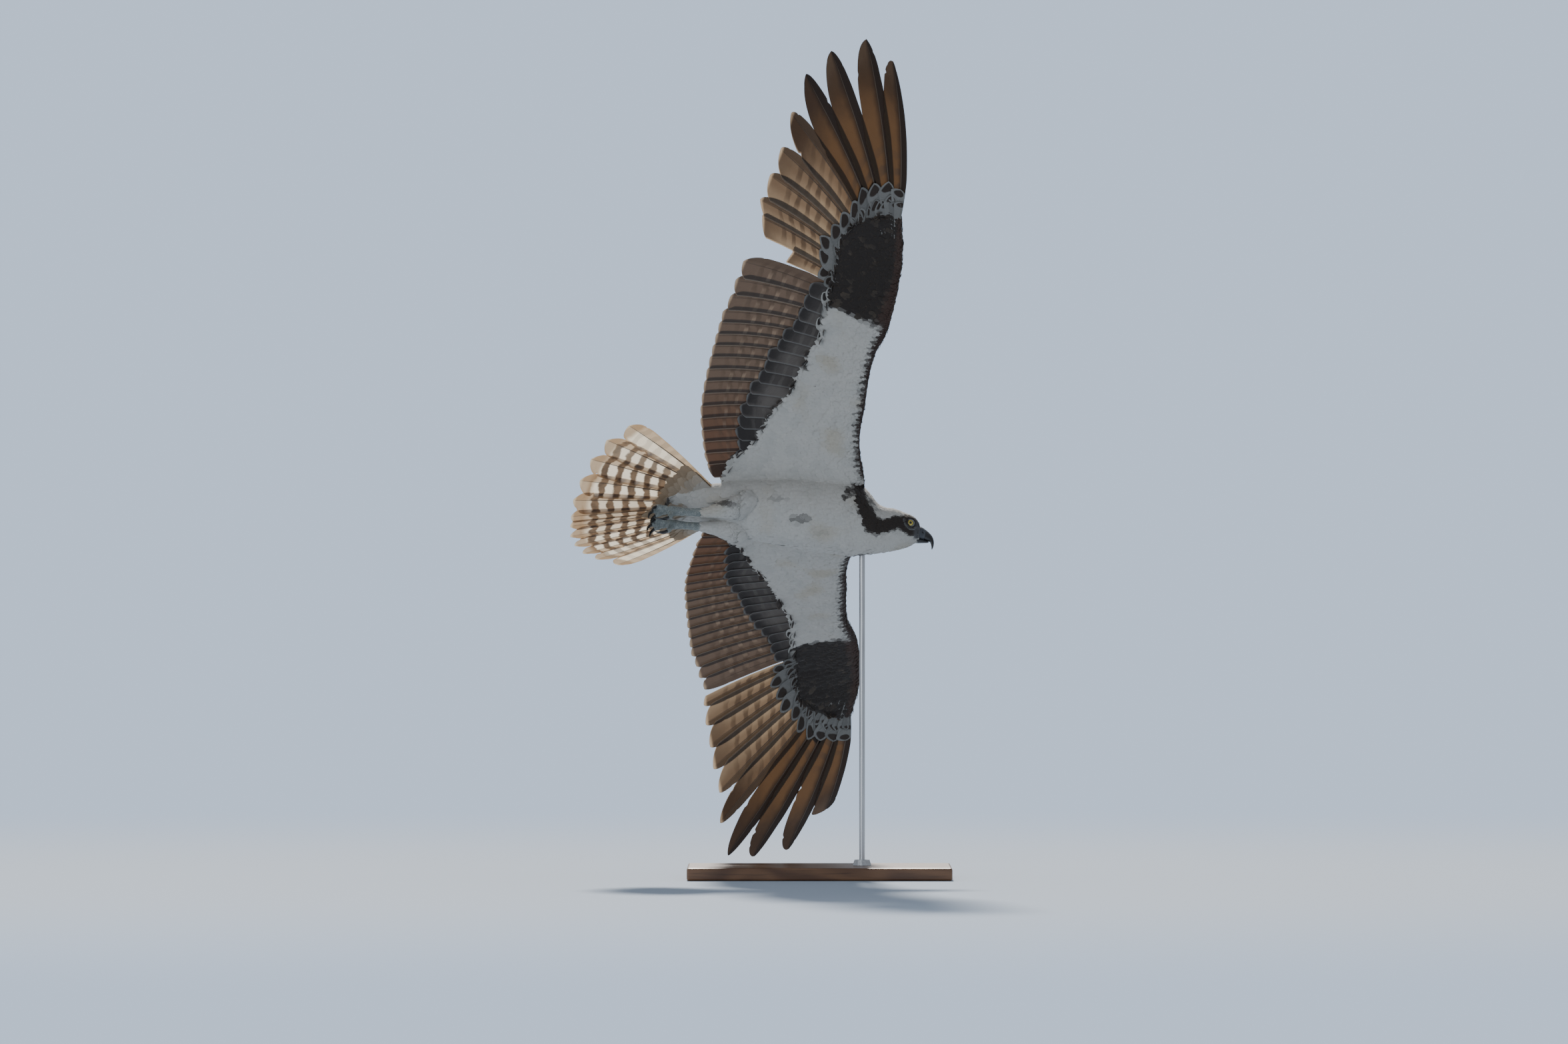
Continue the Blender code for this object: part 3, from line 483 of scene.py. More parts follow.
def flightRows(i, side, draw, across):
    q = quills
    primary = i >= 1
    inner, outer = (q["inner"][i - 1], q["outer"][i - 1]) if primary else q["secondaryWebs"]
    start = q["taper"][i - 1] if primary else 0.9
    grown = q["growing"].get((side, i))
    innerCuts = notches(draw, 3 if primary else 4, 0.6, 0.985, 0.16)
    outerCuts = notches(draw, 1 if primary else 2, 0.8, 0.985, 0.2)
    rows = []
    for s in stationsTo(48 if i >= 6 else 38):
        t = s * (grown or 1)
        wide = min(1, 0.4 + 2 * s) * roundEnd(s, 0.94 if grown else start)
        lean = 1 if grown or i >= 6 else min(1, roundEnd(s, start - 0.07) / max(roundEnd(s, start), 0.01))
        back, ahead = webShares(i, t, side, inner * wide * split(s, innerCuts), outer * wide * lean * split(s, outerCuts))
        points = []
        for c in across:
            place = i + c * (back if c < 0 else ahead)
            point = wingField(place, t, side).copy()
            point.z += q["step"] * (place - i)
            points.append(point)
        rows.append((s, points))
    return rows


coverts = {
    "underReach": ((-16, 0.74), (-10, 0.61), (-6, 0.55), (-2, 0.46), (1, 0.52), (4, 0.5), (7, 0.37), (10, 0.31)),
    "upperReach": ((-16, 0.66), (-6, 0.5), (1, 0.45), (5, 0.42), (10, 0.3)),
    "step": 0.9,
    "webs": (24, 11),
    "rows": 15,
    # x of the white lining's rear edge by distance out, where the median coverts end
    "liningRear": ((66, -93), (85, -89), (100, -72), (125, -60), (149, -50), (174, -29), (202, -14), (230, -4),
                   (255, 7), (283, 20), (317, 19), (350, 22)),
    # under the wing and over it: share of the greater covert's reach, lift, width share
    "underTiers": ((1.0, -2.9, 1.0), (0.80, -3.8, 1.0)),
    "upperTiers": ((1.0, 3.0, 1.0), (0.76, 4.2, 0.85), (0.56, 5.3, 0.75)),
}


def liningReach(i, side):  # share of a secondary's length at which the white lining ends
    return min(np.linspace(0.1, 0.9, 81), key=lambda t: abs(
        shaftPoint(i, t, side).x - readTable(coverts["liningRear"], abs(shaftPoint(i, t, side).y))))


def covertRows(i, side, reach, lift, wide, shift, across, rows):
    inner, outer = coverts["webs"]
    made = []
    for s in stationsTo(rows, 1.9):
        t = 0.05 + (reach - 0.05) * s
        share = wide * min(1, 0.5 + 0.75 * s) * roundEnd(s, 0.74)
        back, ahead = webShares(i, t, side, inner * share, outer * share)
        points = []
        for c in across:
            place = i + c * (back if c < 0 else ahead)
            point = wingField(min(place + shift, 10.4), t, side).copy()
            point.z += lift + coverts["step"] * (place - i)
            points.append(point)
        made.append((s, points))
    return made


# flight feather colours: pale and warm on the primaries are partly their own tones and partly painted glow of light
# shining through the vanes from behind; edge is a real pale fringe brightened as painted rim light
flightColours = {
    "secondary": (0.125, 0.096, 0.078), "secondaryBar": (0.056, 0.041, 0.033), "edge": (0.50, 0.41, 0.32),
    "pale": (0.27, 0.22, 0.165), "tan": (0.115, 0.083, 0.060), "outerPale": (0.150, 0.118, 0.092), "bar": (0.060, 0.043, 0.032),
    "warm": (0.105, 0.062, 0.032), "fingerTip": (0.040, 0.026, 0.018), "outerWeb": (0.016, 0.012, 0.011),
    "innermost": (0.105, 0.056, 0.036), "window": (0.26, 0.21, 0.17),
    "upper": (0.031, 0.021, 0.015), "upperEdge": (0.135, 0.098, 0.070), "shaft": (0.11, 0.075, 0.05),
}


def barbRelief(tree, shader, c, s, chance):  # fine barbs that run out and back from the shaft
    lines = grain(tree, 1.0, 2.0, vector=joined(tree, c * 3.0, (s * 300.0) - (c.size() * 42.0), chance * 50.0))
    relief(tree, shader, lines, 0.35, 0.0006)
    return lines


def flightFinish():
    k = flightColours
    made, tree, shader = newFinish("flightFeather", 0.58)
    c, s, rod, _, _ = attribute(tree, "vane")
    place, _, chance, _, _ = attribute(tree, "kind")
    upper = attribute(tree, "upper")[3]
    lines = barbRelief(tree, shader, c, s, chance)
    wobble = grain(tree, 1.0, 2.0, vector=joined(tree, c * 1.6, s * 13.0, chance * 40.0)) - 0.5
    blot = grain(tree, 1.0, 3.0, vector=joined(tree, c * 1.2, s * 5.0, chance * 90.0))
    primary, finger = place.rise(0.3, 0.7), place.rise(5.4, 6.9)
    inner = place.fall(-12.5, -8.0)
    depth = c.size()
    bars = ((s + depth * 0.02 + wobble * 0.045 + chance * 0.055) * 74.0).sine().rise(-0.25, 0.65)
    windows = ((s + wobble * 0.02 + chance * 0.03) * 58.0).sine().rise(0.45, 0.85) * c.fall(-0.5, -0.1) * c.rise(-0.95, -0.8)
    nearShaft = (depth + wobble * 0.25).fall(0.2, 0.85)
    # the primaries' pale base and the warm outer primaries: partly their own colour, partly painted glow of light
    # through the vane from behind
    colour = blend(tree, primary, k["secondary"], k["pale"])
    colour = blend(tree, primary * (s + wobble * 0.15).rise(0.5, 0.9) * 0.6, colour, k["outerPale"])
    colour = blend(tree, inner * 0.75, colour, k["innermost"])
    colour = blend(tree, primary * (nearShaft * (blot * 0.5 + 0.55)).low(1.0), colour, k["tan"])
    colour = blend(tree, finger, colour, k["warm"])
    barShare = bars * (nearShaft * 0.85 + 0.15) * (1 - finger * s.rise(0.35, 0.6)) * s.fall(0.80, 0.92) * (primary * 0.45 + 0.55)
    barColour = blend(tree, primary, k["secondaryBar"], k["bar"])
    colour = blend(tree, barShare * (blot * 0.5 + 0.6), colour, barColour)
    colour = blend(tree, place.rise(4.5, 6.0) * (s + wobble * 0.12).rise(0.62, 0.92), colour, k["fingerTip"])
    colour = blend(tree, primary * (s + wobble * 0.1).rise(0.80, 0.97) * chance.rise(0.35, 0.75) * 0.8, colour, (0.075, 0.055, 0.041))
    colour = blend(tree, primary * c.rise(-0.06, 0.16) * 0.9, colour, blend(tree, finger, (0.050, 0.038, 0.030), k["outerWeb"]))
    colour = blend(tree, place.rise(6.4, 7.0) * (c + wobble * 0.2).rise(-0.38, 0.02) * 0.75, colour, k["outerWeb"])
    shown = (1 - primary) * (1 - inner * 0.6) * s.rise(0.35, 0.45) * s.fall(0.78, 0.9)
    colour = blend(tree, windows * shown * (blot.rise(0.3, 0.6) * 0.5 + 0.1), colour, k["window"])
    # painted shade: the outer web of each secondary, which the next feather overlaps from below, darkened towards the
    # bar colour
    colour = blend(tree, (1 - primary) * c.rise(-0.1, 0.5) * 0.45, colour, k["secondaryBar"])
    # pale inner edges and tips of the secondaries: their real pale fringe, brightened further as painted rim light from
    # behind
    pale = (1 - finger) * (c.fall(-1.0, -0.90).high(s.rise(0.972, 0.996)))
    colour = blend(tree, pale * 0.8, colour, k["edge"])
    top = blend(tree, c.fall(-1.0, -0.9).high(s.rise(0.96, 0.99)) * 0.8, k["upper"], k["upperEdge"])
    top = blend(tree, lines * 0.5, top, (0.050, 0.036, 0.026))
    side = blend(tree, upper, colour, top)
    side = blend(tree, rod, side, k["shaft"])
    side = blend(tree, 0.35, side, blend(tree, lines.rise(0.3, 0.7), (0.55, 0.55, 0.55), (1.0, 1.0, 1.0)), "MULTIPLY")
    tree.links.new(side, shader.inputs["Base Color"])
    lit = blend(tree, 1.0, colour, blend(tree, primary, (1.6, 1.5, 1.4), blend(tree, finger, (2.0, 1.85, 1.65), (1.4, 1.3, 1.2))), "MULTIPLY")
    glow = blend(tree, upper, lit, (0.95, 0.92, 0.86))
    letThrough(tree, shader, side, (1 - rod) * (primary * (0.17 - upper * 0.09) + 0.45), glow)
    return made


def covertFinish():  # tint over the vane, fringe at its edge or as an oval spot near its tip
    made, tree, shader = newFinish("coverts", 0.7)
    c, s, rod, _, _ = attribute(tree, "vane")
    spot, small, chance, _, _ = attribute(tree, "kind")
    _, _, _, _, tint = attribute(tree, "tint")
    _, _, _, _, fringe = attribute(tree, "fringe")
    lines = barbRelief(tree, shader, c, s, chance)
    wobble = grain(tree, 1.0, 2.0, vector=joined(tree, c * 1.6, s * 7.0, chance * 40.0)) - 0.5
    edge = (c.size() + wobble * 0.25).rise(0.72, 0.97).high((s + wobble * 0.08).rise(0.86, 0.97))
    oval = (s + wobble * 0.12).rise(0.62, 0.92) * (c + wobble * 0.3 + 0.15).size().fall(0.45, 0.95)
    away, aside = (s + wobble * 0.02 - 0.905) * 14.0, (c + wobble * 0.2) * 1.5
    dot = (away * away + aside * aside).fall(0.75, 1.25)
    share = (1 - spot) * edge * 0.8 + spot * (small * dot + (1 - small) * oval)
    colour = blend(tree, share, tint, fringe)
    bands = ((s + wobble * 0.06 + chance * 0.12) * 38.0).sine().rise(0.1, 0.8) * c.fall(-0.3, 0.35) * s.fall(0.7, 0.85)
    colour = blend(tree, bands * spot * (1 - small) * 0.45, colour, (0.20, 0.18, 0.16))
    outline = spot * (1 - small) * c.size().rise(0.86, 0.97).high(s.rise(0.95, 0.985))
    colour = blend(tree, outline * 0.8, colour, (0.27, 0.265, 0.255))
    colour = blend(tree, rod * 0.6, colour, (0.05, 0.04, 0.034))
    colour = blend(tree, 0.4, colour, blend(tree, lines.rise(0.3, 0.7), (0.5, 0.5, 0.5), (1.0, 1.0, 1.0)), "MULTIPLY")
    tree.links.new(colour, shader.inputs["Base Color"])
    letThrough(tree, shader, colour, 0.3)
    return made


print("shaders ready")
flightLook, covertLook = flightFinish(), covertFinish()


def mixed(a, b, t):
    return tuple(p + (q - p) * t for p, q in zip(a, b))


def covertColours(i, tier, upper, draw):
    # tint, second colour, 1 where that is an oval at the tip and not a fringe, and 1 where the oval is a small dot
    if upper:
        tone = draw.uniform(0.8, 1.25)
        return tuple(v * tone for v in (0.032, 0.022, 0.016)), (0.145, 0.106, 0.074), 0.0, 0.0
    tone = draw.uniform(0.8, 1.3)
    dark = tuple(v * tone for v in (0.030, 0.023, 0.020))
    if i >= 1:
        pale = draw.uniform(0.8, 1.15)
        return tuple(v * pale for v in (0.27, 0.265, 0.25)), mixed(dark, (0.06, 0.036, 0.022), 0.5), 1.0, 1.0
    if tier == 0:
        slate = mixed((0.085, 0.072, 0.066), (0.20, 0.175, 0.155), draw.random())
        return mixed(slate, (0.045, 0.038, 0.036), smoothStep(-10.0, -14.0, i)), mixed(dark, (0.06, 0.052, 0.05), 0.6), 1.0, 0.0
    pale = draw.uniform(0.85, 1.0)
    return tuple(v * pale for v in (0.60, 0.585, 0.545)), dark, float(draw.random() < 0.75), 1.0


def makeWingFeathers(side, name):
    draw = random.Random(31 + side)
    flight = Sheaf("vane", "kind", "upper")
    for i in range(firstSecondary, 11):
        rows = flightRows(i, side, draw, vaneAcross)
        addVane(flight, rows, vaneAcross, quills["half"], i, side, draw.random(), arch=0.9, ruffle=0.16,
                shaftSize=1.35 if i >= 1 else 0.95)
    made = flight.finish(f"flightFeathers_{name}", flightLook)
    settle(made, "wing", f"wing_{name}_arm", f"wing_{name}_hand")
    for upper, tiers, label in ((0, coverts["underTiers"], "under"), (1, coverts["upperTiers"], "upper")):
        sheaf = Sheaf("vane", "kind", "upper", "tint", "fringe")
        table = coverts["upperReach"] if upper else coverts["underReach"]
        for tier, (share, lift, wide) in enumerate(tiers):
            for i in range(firstSecondary + (3 if tier and not upper else 0), 11):
                for shift in ((0,) if tier == 0 else (-0.25, 0.25)):
                    reach = readTable(table, i) * share * draw.uniform(0.96, 1.04)
                    if tier and not upper and i < 1:
                        reach = (liningReach(i, side) + 0.02) * draw.uniform(0.98, 1.04)
                    rows = covertRows(i, side, reach, lift + draw.uniform(-0.15, 0.15) + shift * 0.5,
                                      wide * (1 if tier == 0 else 0.8), shift, plainAcross, coverts["rows"])
                    before = sheaf.count
                    tint, fringe, spot, small = covertColours(i, tier, upper, draw)
                    addVane(sheaf, rows, plainAcross, 0.24, spot, small, draw.random(), arch=0.6, ruffle=0.1,
                            shaftSize=0.4)
                    count = sheaf.count - before
                    sheaf.values["tint"].append(np.tile(tint, (count, 1)))
                    sheaf.values["fringe"].append(np.tile(fringe, (count, 1)))
        settle(sheaf.finish(f"coverts_{label}_{name}", covertLook), "wing")
    print("wing feathers", name, len(made.data.polygons))


tertials = {"roots": ((-30, 62, 25), (-38, 59, 24), (-46, 56, 22), (-54, 53, 20)),
            "tips": ((-142, 62, 17), (-139, 56, 16), (-131, 51, 14), (-121, 47, 12)), "half": 10.5, "bow": 5}


def makeTertials(side, name):  # the loose vanes between the innermost secondaries and the body
    draw = random.Random(51 + side)
    sheaf = Sheaf("vane", "kind", "upper")
    for n, (root, tip) in enumerate(zip(tertials["roots"], tertials["tips"])):
        cuts = notches(draw, 4, 0.6, 0.98, 0.25)
        rows = []
        for s in stationsTo(30):
            half = tertials["half"] * min(1, 0.4 + 1.6 * s) * roundEnd(s, 0.72) * split(s, cuts)
            x, out, z = between(root, tip, s)
            out += 4 * s * (1 - s) * tertials["bow"] * 0.5
            rows.append((s, [(x, side * (out + c * half), z + 0.5 * c + 0.9 * n) for c in vaneAcross]))
        addVane(sheaf, rows, vaneAcross, quills["half"], firstSecondary - 1 - n, side, draw.random(), arch=0.9,
                ruffle=0.4, shaftSize=0.8)
    settle(sheaf.finish(f"tertials_{name}", flightLook), "wing")


for side, name in sides:
    makeWingFeathers(side, name)
    makeTertials(side, name)


# Tail, from the middle pair out
tail = {
    "tips": ((-349, 9, -76), (-348, 36, -67), (-340, 65, -52), (-326, 94, -32), (-304, 119, -11), (-271, 139, 6)),
    "rootX": -120, "rootZ": -9, "rootSpread": 4.6, "yaw": 8, "bow": 15, "webs": (24, 15),
    "widths": ((0, 0.3), (0.44, 1), (0.85, 1), (0.94, 0.88), (1, 0.6)), "taper": 0.92,
    "middleOverlap": 0.62, "middleStep": 1.2,
    # reach, lift, width, feathers, colour
    "under": ((0.50, -2.6, 0.85, 23, (0.43, 0.315, 0.205)), (0.42, -3.4, 0.8, 21, (0.48, 0.375, 0.265)),
              (0.34, -4.3, 0.75, 21, (0.53, 0.45, 0.355)), (0.26, -5.3, 0.75, 19, (0.57, 0.53, 0.465))),
    "upper": ((0.40, 3.2, 1.0, 15, (0.036, 0.025, 0.018)), (0.30, 4.4, 0.9, 15, (0.036, 0.025, 0.018))),
}


def tailPoint(k, t, side):  # the k-th feather out from the middle, 1 to 6
    x1, y1, z1 = tail["tips"][k - 1]
    x0, y0, z0 = tail["rootX"], tail["rootSpread"] * (k - 0.5), tail["rootZ"]
    swing = 2 * t * (1 - t) * tail["bow"] * (k - 1) / 5 / math.hypot(x1 - x0, y1 - y0)
    x = x0 + (x1 - x0) * t
    y = y0 + (y1 - y0) * t + (x0 - x1) * swing
    return Vector((x, side * y + tail["yaw"] * t, z0 + (z1 - z0) * t))


def tailField(place, t, side):  # under 1 it lies between the two middle feathers
    if place < 1:
        return tailPoint(1, t, -side).lerp(tailPoint(1, t, side), place)
    k = min(math.floor(place), 5)
    return tailPoint(k, t, side).lerp(tailPoint(k + 1, t, side), place - k)


def tailRows(k, side, draw, across):
    inner, outer = tail["webs"]
    lift = tail["middleStep"] if k == 1 and side < 0 else 0
    innerCuts, outerCuts = notches(draw, 3, 0.6, 0.99, 0.3), notches(draw, 2, 0.7, 0.99, 0.3)
    rows = []
    for s in stationsTo(46):
        wide = readTable(tail["widths"], s) * roundEnd(s, tail["taper"])
        here = tailPoint(k, s, side)
        back = (here - tailField(k - 1, s, side)).length
        ahead = (tailField(k + 1, s, side) - here).length
        shareIn = min(inner * wide * split(s, innerCuts) / back, tail["middleOverlap"] if k == 1 else 0.86)
        shareOut = min(outer * wide * split(s, outerCuts) / ahead, 0.43)
        points = []
        for c in across:
            place = k + c * (shareIn if c < 0 else shareOut)
            point = tailField(place, s, side)
            point.z += lift + quills["step"] * (place - k)
            points.append(point)
        rows.append((s, points))
    return rows


def tailCovertRows(place, side, reach, lift, wide, across, rows=12):
    made = []
    for s in stationsTo(rows, 1.3):
        t = 0.03 + (reach - 0.03) * s
        half = 11 * wide * min(1, 0.4 + 0.9 * s) * roundEnd(s, 0.66)
        near = (tailField(min(place + 0.5, 6), t, side) - tailField(max(place - 0.5, 0.1), t, side)).length
        share = min(half / max(near, 1), 1.1)
        points = []
        for c in across:
            point = tailField(min(max(place + c * share, 0), 6.2), t, side).copy()
            point.z += lift + 0.6 * c
            points.append(point)
        made.append((s, points))
    return made


def tailFinish():
    made, tree, shader = newFinish("tailFeather", 0.6)
    c, s, rod, _, _ = attribute(tree, "vane")
    place, _, chance, _, _ = attribute(tree, "kind")
    upper = attribute(tree, "upper")[3]
    lines = barbRelief(tree, shader, c, s, chance)
    wobble = grain(tree, 1.0, 2.0, vector=joined(tree, c * 2.2, s * 16.0, chance * 40.0)) - 0.5
    outerWeb = c.rise(-0.05, 0.12)
    middle = place.fall(1.2, 2.8)
    cloud = grain(tree, 1.0, 3.0, vector=joined(tree, c * 1.0, s * 4.0, chance * 70.0))
    bars = ((s + c.size() * 0.02 + wobble * 0.05 + chance * 0.09) * 59.0).sine()
    bars = (bars + (cloud - 0.5) * 1.1).rise(-0.35, 0.5)
    colour = blend(tree, outerWeb * 0.75, (0.80, 0.76, 0.68), (0.37, 0.265, 0.17))
    colour = blend(tree, middle * 0.7, colour, (0.30, 0.225, 0.16))
    colour = blend(tree, s.fall(0.25, 0.5) * 0.8, colour, (0.33, 0.25, 0.17))
    barColour = blend(tree, wobble.rise(-0.2, 0.2), (0.075, 0.050, 0.034), (0.15, 0.10, 0.066))
    strength = 0.96 - (place + chance * 0.6 - 0.3).rise(4.3, 6.2) * 0.78
    colour = blend(tree, bars * strength * s.fall(0.90, 0.95), colour, barColour)
    colour = blend(tree, (s + wobble * 0.03).rise(0.87, 0.92) * 0.75, colour, (0.30, 0.205, 0.125))
    colour = blend(tree, c.size().rise(0.80, 0.97) * s.rise(0.3, 0.5) * 0.7, colour, (0.40, 0.275, 0.165))
    colour = blend(tree, s.rise(0.975, 0.998) * 0.7, colour, (0.66, 0.60, 0.50))
    top = blend(tree, bars * 0.8, (0.15, 0.105, 0.075), (0.045, 0.031, 0.022))
    side = blend(tree, upper, colour, top)
    side = blend(tree, rod, side, (0.10, 0.065, 0.042))
    side = blend(tree, 0.3, side, blend(tree, lines.rise(0.3, 0.7), (0.55, 0.55, 0.55), (1.0, 1.0, 1.0)), "MULTIPLY")
    tree.links.new(side, shader.inputs["Base Color"])
    lit = blend(tree, 1.0, colour, (1.5, 1.45, 1.35), "MULTIPLY")
    glow = blend(tree, upper, lit, (0.97, 0.95, 0.9))
    letThrough(tree, shader, side, (1 - rod) * 0.68, glow)
    return made


def makeTail():
    draw = random.Random(44)
    look = tailFinish()
    sheaf = Sheaf("vane", "kind", "upper")
    for side in (-1, 1):
        for k in range(1, 7):
            addVane(sheaf, tailRows(k, side, draw, vaneAcross), vaneAcross, quills["half"], k, side, draw.random(),
                    arch=0.8, ruffle=0.14, shaftSize=1.2)
    made = settle(sheaf.finish("tailFeathers", look), "tail", "tail")
    sheaf = Sheaf("vane", "kind", "upper", "tint", "fringe")
    for upper, tiers in ((0, tail["under"]), (1, tail["upper"])):
        for reach, lift, wide, count, tone in tiers:
            for n in range(count):
                across = (n + 0.5) / count * 2 - 1
                side, place = (1, 6.0 * across) if across > 0 else (-1, -6.0 * across)
                before = sheaf.count
                share = reach * (1 - 0.25 * abs(across)) * draw.uniform(0.94, 1.06)
                rows = tailCovertRows(max(place, 0.3), side, share, lift + 0.3 * (n % 2), wide, plainAcross)
                addVane(sheaf, rows, plainAcross, 0.24, 0.0, side, draw.random(), arch=0.35, ruffle=0.1,
                        shaftSize=0.4 if upper else None)
                share = draw.uniform(0.9, 1.08)
                tint = tuple(v * share for v in tone)
                fringe = (0.17, 0.125, 0.085) if upper else tuple(v * share * 1.1 for v in tone)
                sheaf.values["tint"].append(np.tile(tint, (sheaf.count - before, 1)))
                sheaf.values["fringe"].append(np.tile(fringe, (sheaf.count - before, 1)))
    settle(sheaf.finish("tailCoverts", covertLook), "tail")
    print("tail", len(made.data.polygons))


makeTail()


# Body: sections from the rump to the bill: x, y and z of the middle, half width, half height
bodyForm = {
    "sections": (
        (-205, 2, -33, 24, 1.2), (-185, 1.5, -26, 29, 4), (-160, 0, -14, 34, 15), (-137, 0, -11, 37, 26),
        (-112, 0, -10, 41, 34), (-95, 0, -9, 45, 40), (-50, 0, -7, 51, 48), (-10, 0, -6, 56, 52),
        (40, 0, -5, 60, 57), (80, 0, -6, 61, 58), (102, 1, -9, 58, 57), (118, 2, -15, 50, 50),
        (135, 4, -23, 40, 41), (150, 4, -24, 34, 37), (163, 4.8, -21, 31, 34.5), (177, 6, -19, 27.5, 30),
        (191, 6, -17.5, 22.5, 25), (198, 5.2, -18.5, 17.5, 20), (204.5, 5.6, -23, 12, 14),
    ),
    "sides": 64, "coatDepth": 2.2, "faceDepth": 1.1, "headRoll": 36.0, "rollStarts": 110, "neckFront": 153,
    "voxel": 0.0024,
}
wingFlesh = {
    "rear": ((30, -105), (66, -102), (85, -89), (100, -73), (125, -60), (149, -48), (174, -29), (202, -14),
             (230, -4), (255, 7), (283, 20), (340, 26), (375, 30)),
    "lip": 1.5,
    "half": ((-18, 17), (-16, 15), (-12, 11.5), (-6, 9.5), (0.5, 7)),
    "profile": ((0, 0.2), (0.03, 0.5), (0.11, 0.84), (0.28, 1), (0.52, 0.72), (0.78, 0.38), (1, 0.16)),
    "hand": ((132, 365, 33, 408, 7), (135, 410, 38, 455, 6), (134, 450, 60, 480, 5),
             (129, 478, 92, 494, 4), (128, 496, 112, 500, 2.5)),
    "depth": 0.9,
}
thigh = ((-70, 25, -38, 23), (-95, 21, -45, 19), (-118, 18, -50, 13), (-132, 15.5, -54, 9.6), (-144, 14.4, -55.4, 8.2))
legShift = -5.5


def headAxes(x):  # left and up on the section here: the neck turns them to the level head
    t = min(max((x - bodyForm["rollStarts"]) / (bodyForm["neckFront"] - bodyForm["rollStarts"]), 0), 1)
    roll = math.radians(bodyForm["headRoll"]) * t * t * (3 - 2 * t)
    return Vector((0, math.cos(roll), math.sin(roll))), Vector((0, -math.sin(roll), math.cos(roll)))


def bodyRing(x, shrink):
    y, z, wide, high = readTable(bodyForm["sections"], x)
    left, up = headAxes(x)
    turns = [2 * math.pi * k / bodyForm["sides"] for k in range(bodyForm["sides"])]
    wide, high = max(wide - shrink, 1), max(high - shrink, 0.8)
    return [Vector((x, y, z)) + wide * math.cos(a) * left + high * math.sin(a) * up for a in turns]


def seamLine(place, side):  # front and rear of the flesh on the line of a feather's shaft
    low = math.floor(place)
    share = place - low
    low = max(low, firstSecondary)
    roots, tips = zip(shaftEnds(low, side), shaftEnds(low + 1, side))
    root, tip = between(*roots, share), between(*tips, share)
    if place < firstSecondary:
        inward = (place - firstSecondary) * 22
        root = (root[0], roots[0][1] + inward)
        tip = (tip[0], roots[0][1] + inward)
    slope = (tip[1] - root[1]) / (tip[0] - root[0])
    frontX = readTable(wingSurface, root[1])[0] + wingFlesh["lip"]
    rearX = readTable(wingFlesh["rear"], root[1])
    for _ in range(4):
        rearX = readTable(wingFlesh["rear"], root[1] + (rearX - root[0]) * slope)
    return tuple((x, root[1] + (x - root[0]) * slope) for x in (frontX, rearX))


def fleshRow(front, rear, half, side):
    row = []
    for k in range(15):
        u = (k / 14) ** 1.4
        x, out = between(front, rear, u)
        thick = max(half * readTable(wingFlesh["profile"], u) - wingFlesh["depth"], 3.3 * min(1, (1.02 - u) / 0.07))
        row.append((x, side * out, wingHeight(x, out), thick))
    return row


def makeSkin():
    sheaf = Sheaf()
    stations = [-203 + 407.6 * k / 110 for k in range(111)]
    sheaf.add([p for x in stations for p in bodyRing(x, bodyForm["coatDepth"] if x < 150 else
              bodyForm["faceDepth"] + (bodyForm["coatDepth"] - bodyForm["faceDepth"]) * max(0, (175 - x) / 25))],
              ringFaces(len(stations), bodyForm["sides"]))
    for side, _ in sides:
        rows = []
        place = -17.6
        while place <= 0.5:
            front, rear = seamLine(place, side)
            rows.append(fleshRow(front, rear, readTable(wingFlesh["half"], place), side))
            place += 0.7
        for x, out, rearX, rearOut, half in wingFlesh["hand"]:
            rows.append(fleshRow((x, out), (rearX, rearOut), half, side))
        grid = np.array(rows)
        upper, lower = grid[:, :, :3].copy(), grid[:, :, :3].copy()
        upper[:, :, 2] += grid[:, :, 3]
        lower[:, :, 2] -= grid[:, :, 3]
        sheaf.add(np.concatenate([upper.reshape(-1, 3), lower.reshape(-1, 3)]), gridFaces(*grid.shape[:2]))
        leg = []
        for n in range(11):
            x = -48 - 94 * n / 10
            row = readTable([(-r[0], *r) for r in thigh], -x)
            row[3] -= 0.4 * max(0, x + 80)
            row[2] += 0.35 * max(0, x + 80)
            for k in range(32):
                a = 2 * math.pi * k / 32
                leg.append((x, side * row[1] + legShift + (row[3] - 1.8) * math.cos(a), row[2] + (row[3] - 1.8) * math.sin(a)))
        sheaf.add(leg, ringFaces(11, 32))
    made = sheaf.finish("skin", None, sharp=0)
    form = bmesh.new()
    form.from_mesh(made.data)
    for island in [list(form.faces)]:
        bmesh.ops.recalc_face_normals(form, faces=island)
    form.to_mesh(made.data)
    form.free()
    remesh = made.modifiers.new("oneSkin", "REMESH")
    remesh.mode = "VOXEL"
    remesh.voxel_size = bodyForm["voxel"]
    smooth = made.modifiers.new("soften", "SMOOTH")
    smooth.factor = 0.5
    smooth.iterations = 6
    plainMesh(made)
    made.data.shade_smooth()
    print("skin faces", len(made.data.polygons))
    return made


skin = makeSkin()
settle(skin, "underparts", "torso", "neck", "head", "leg_left_thigh", "leg_right_thigh")


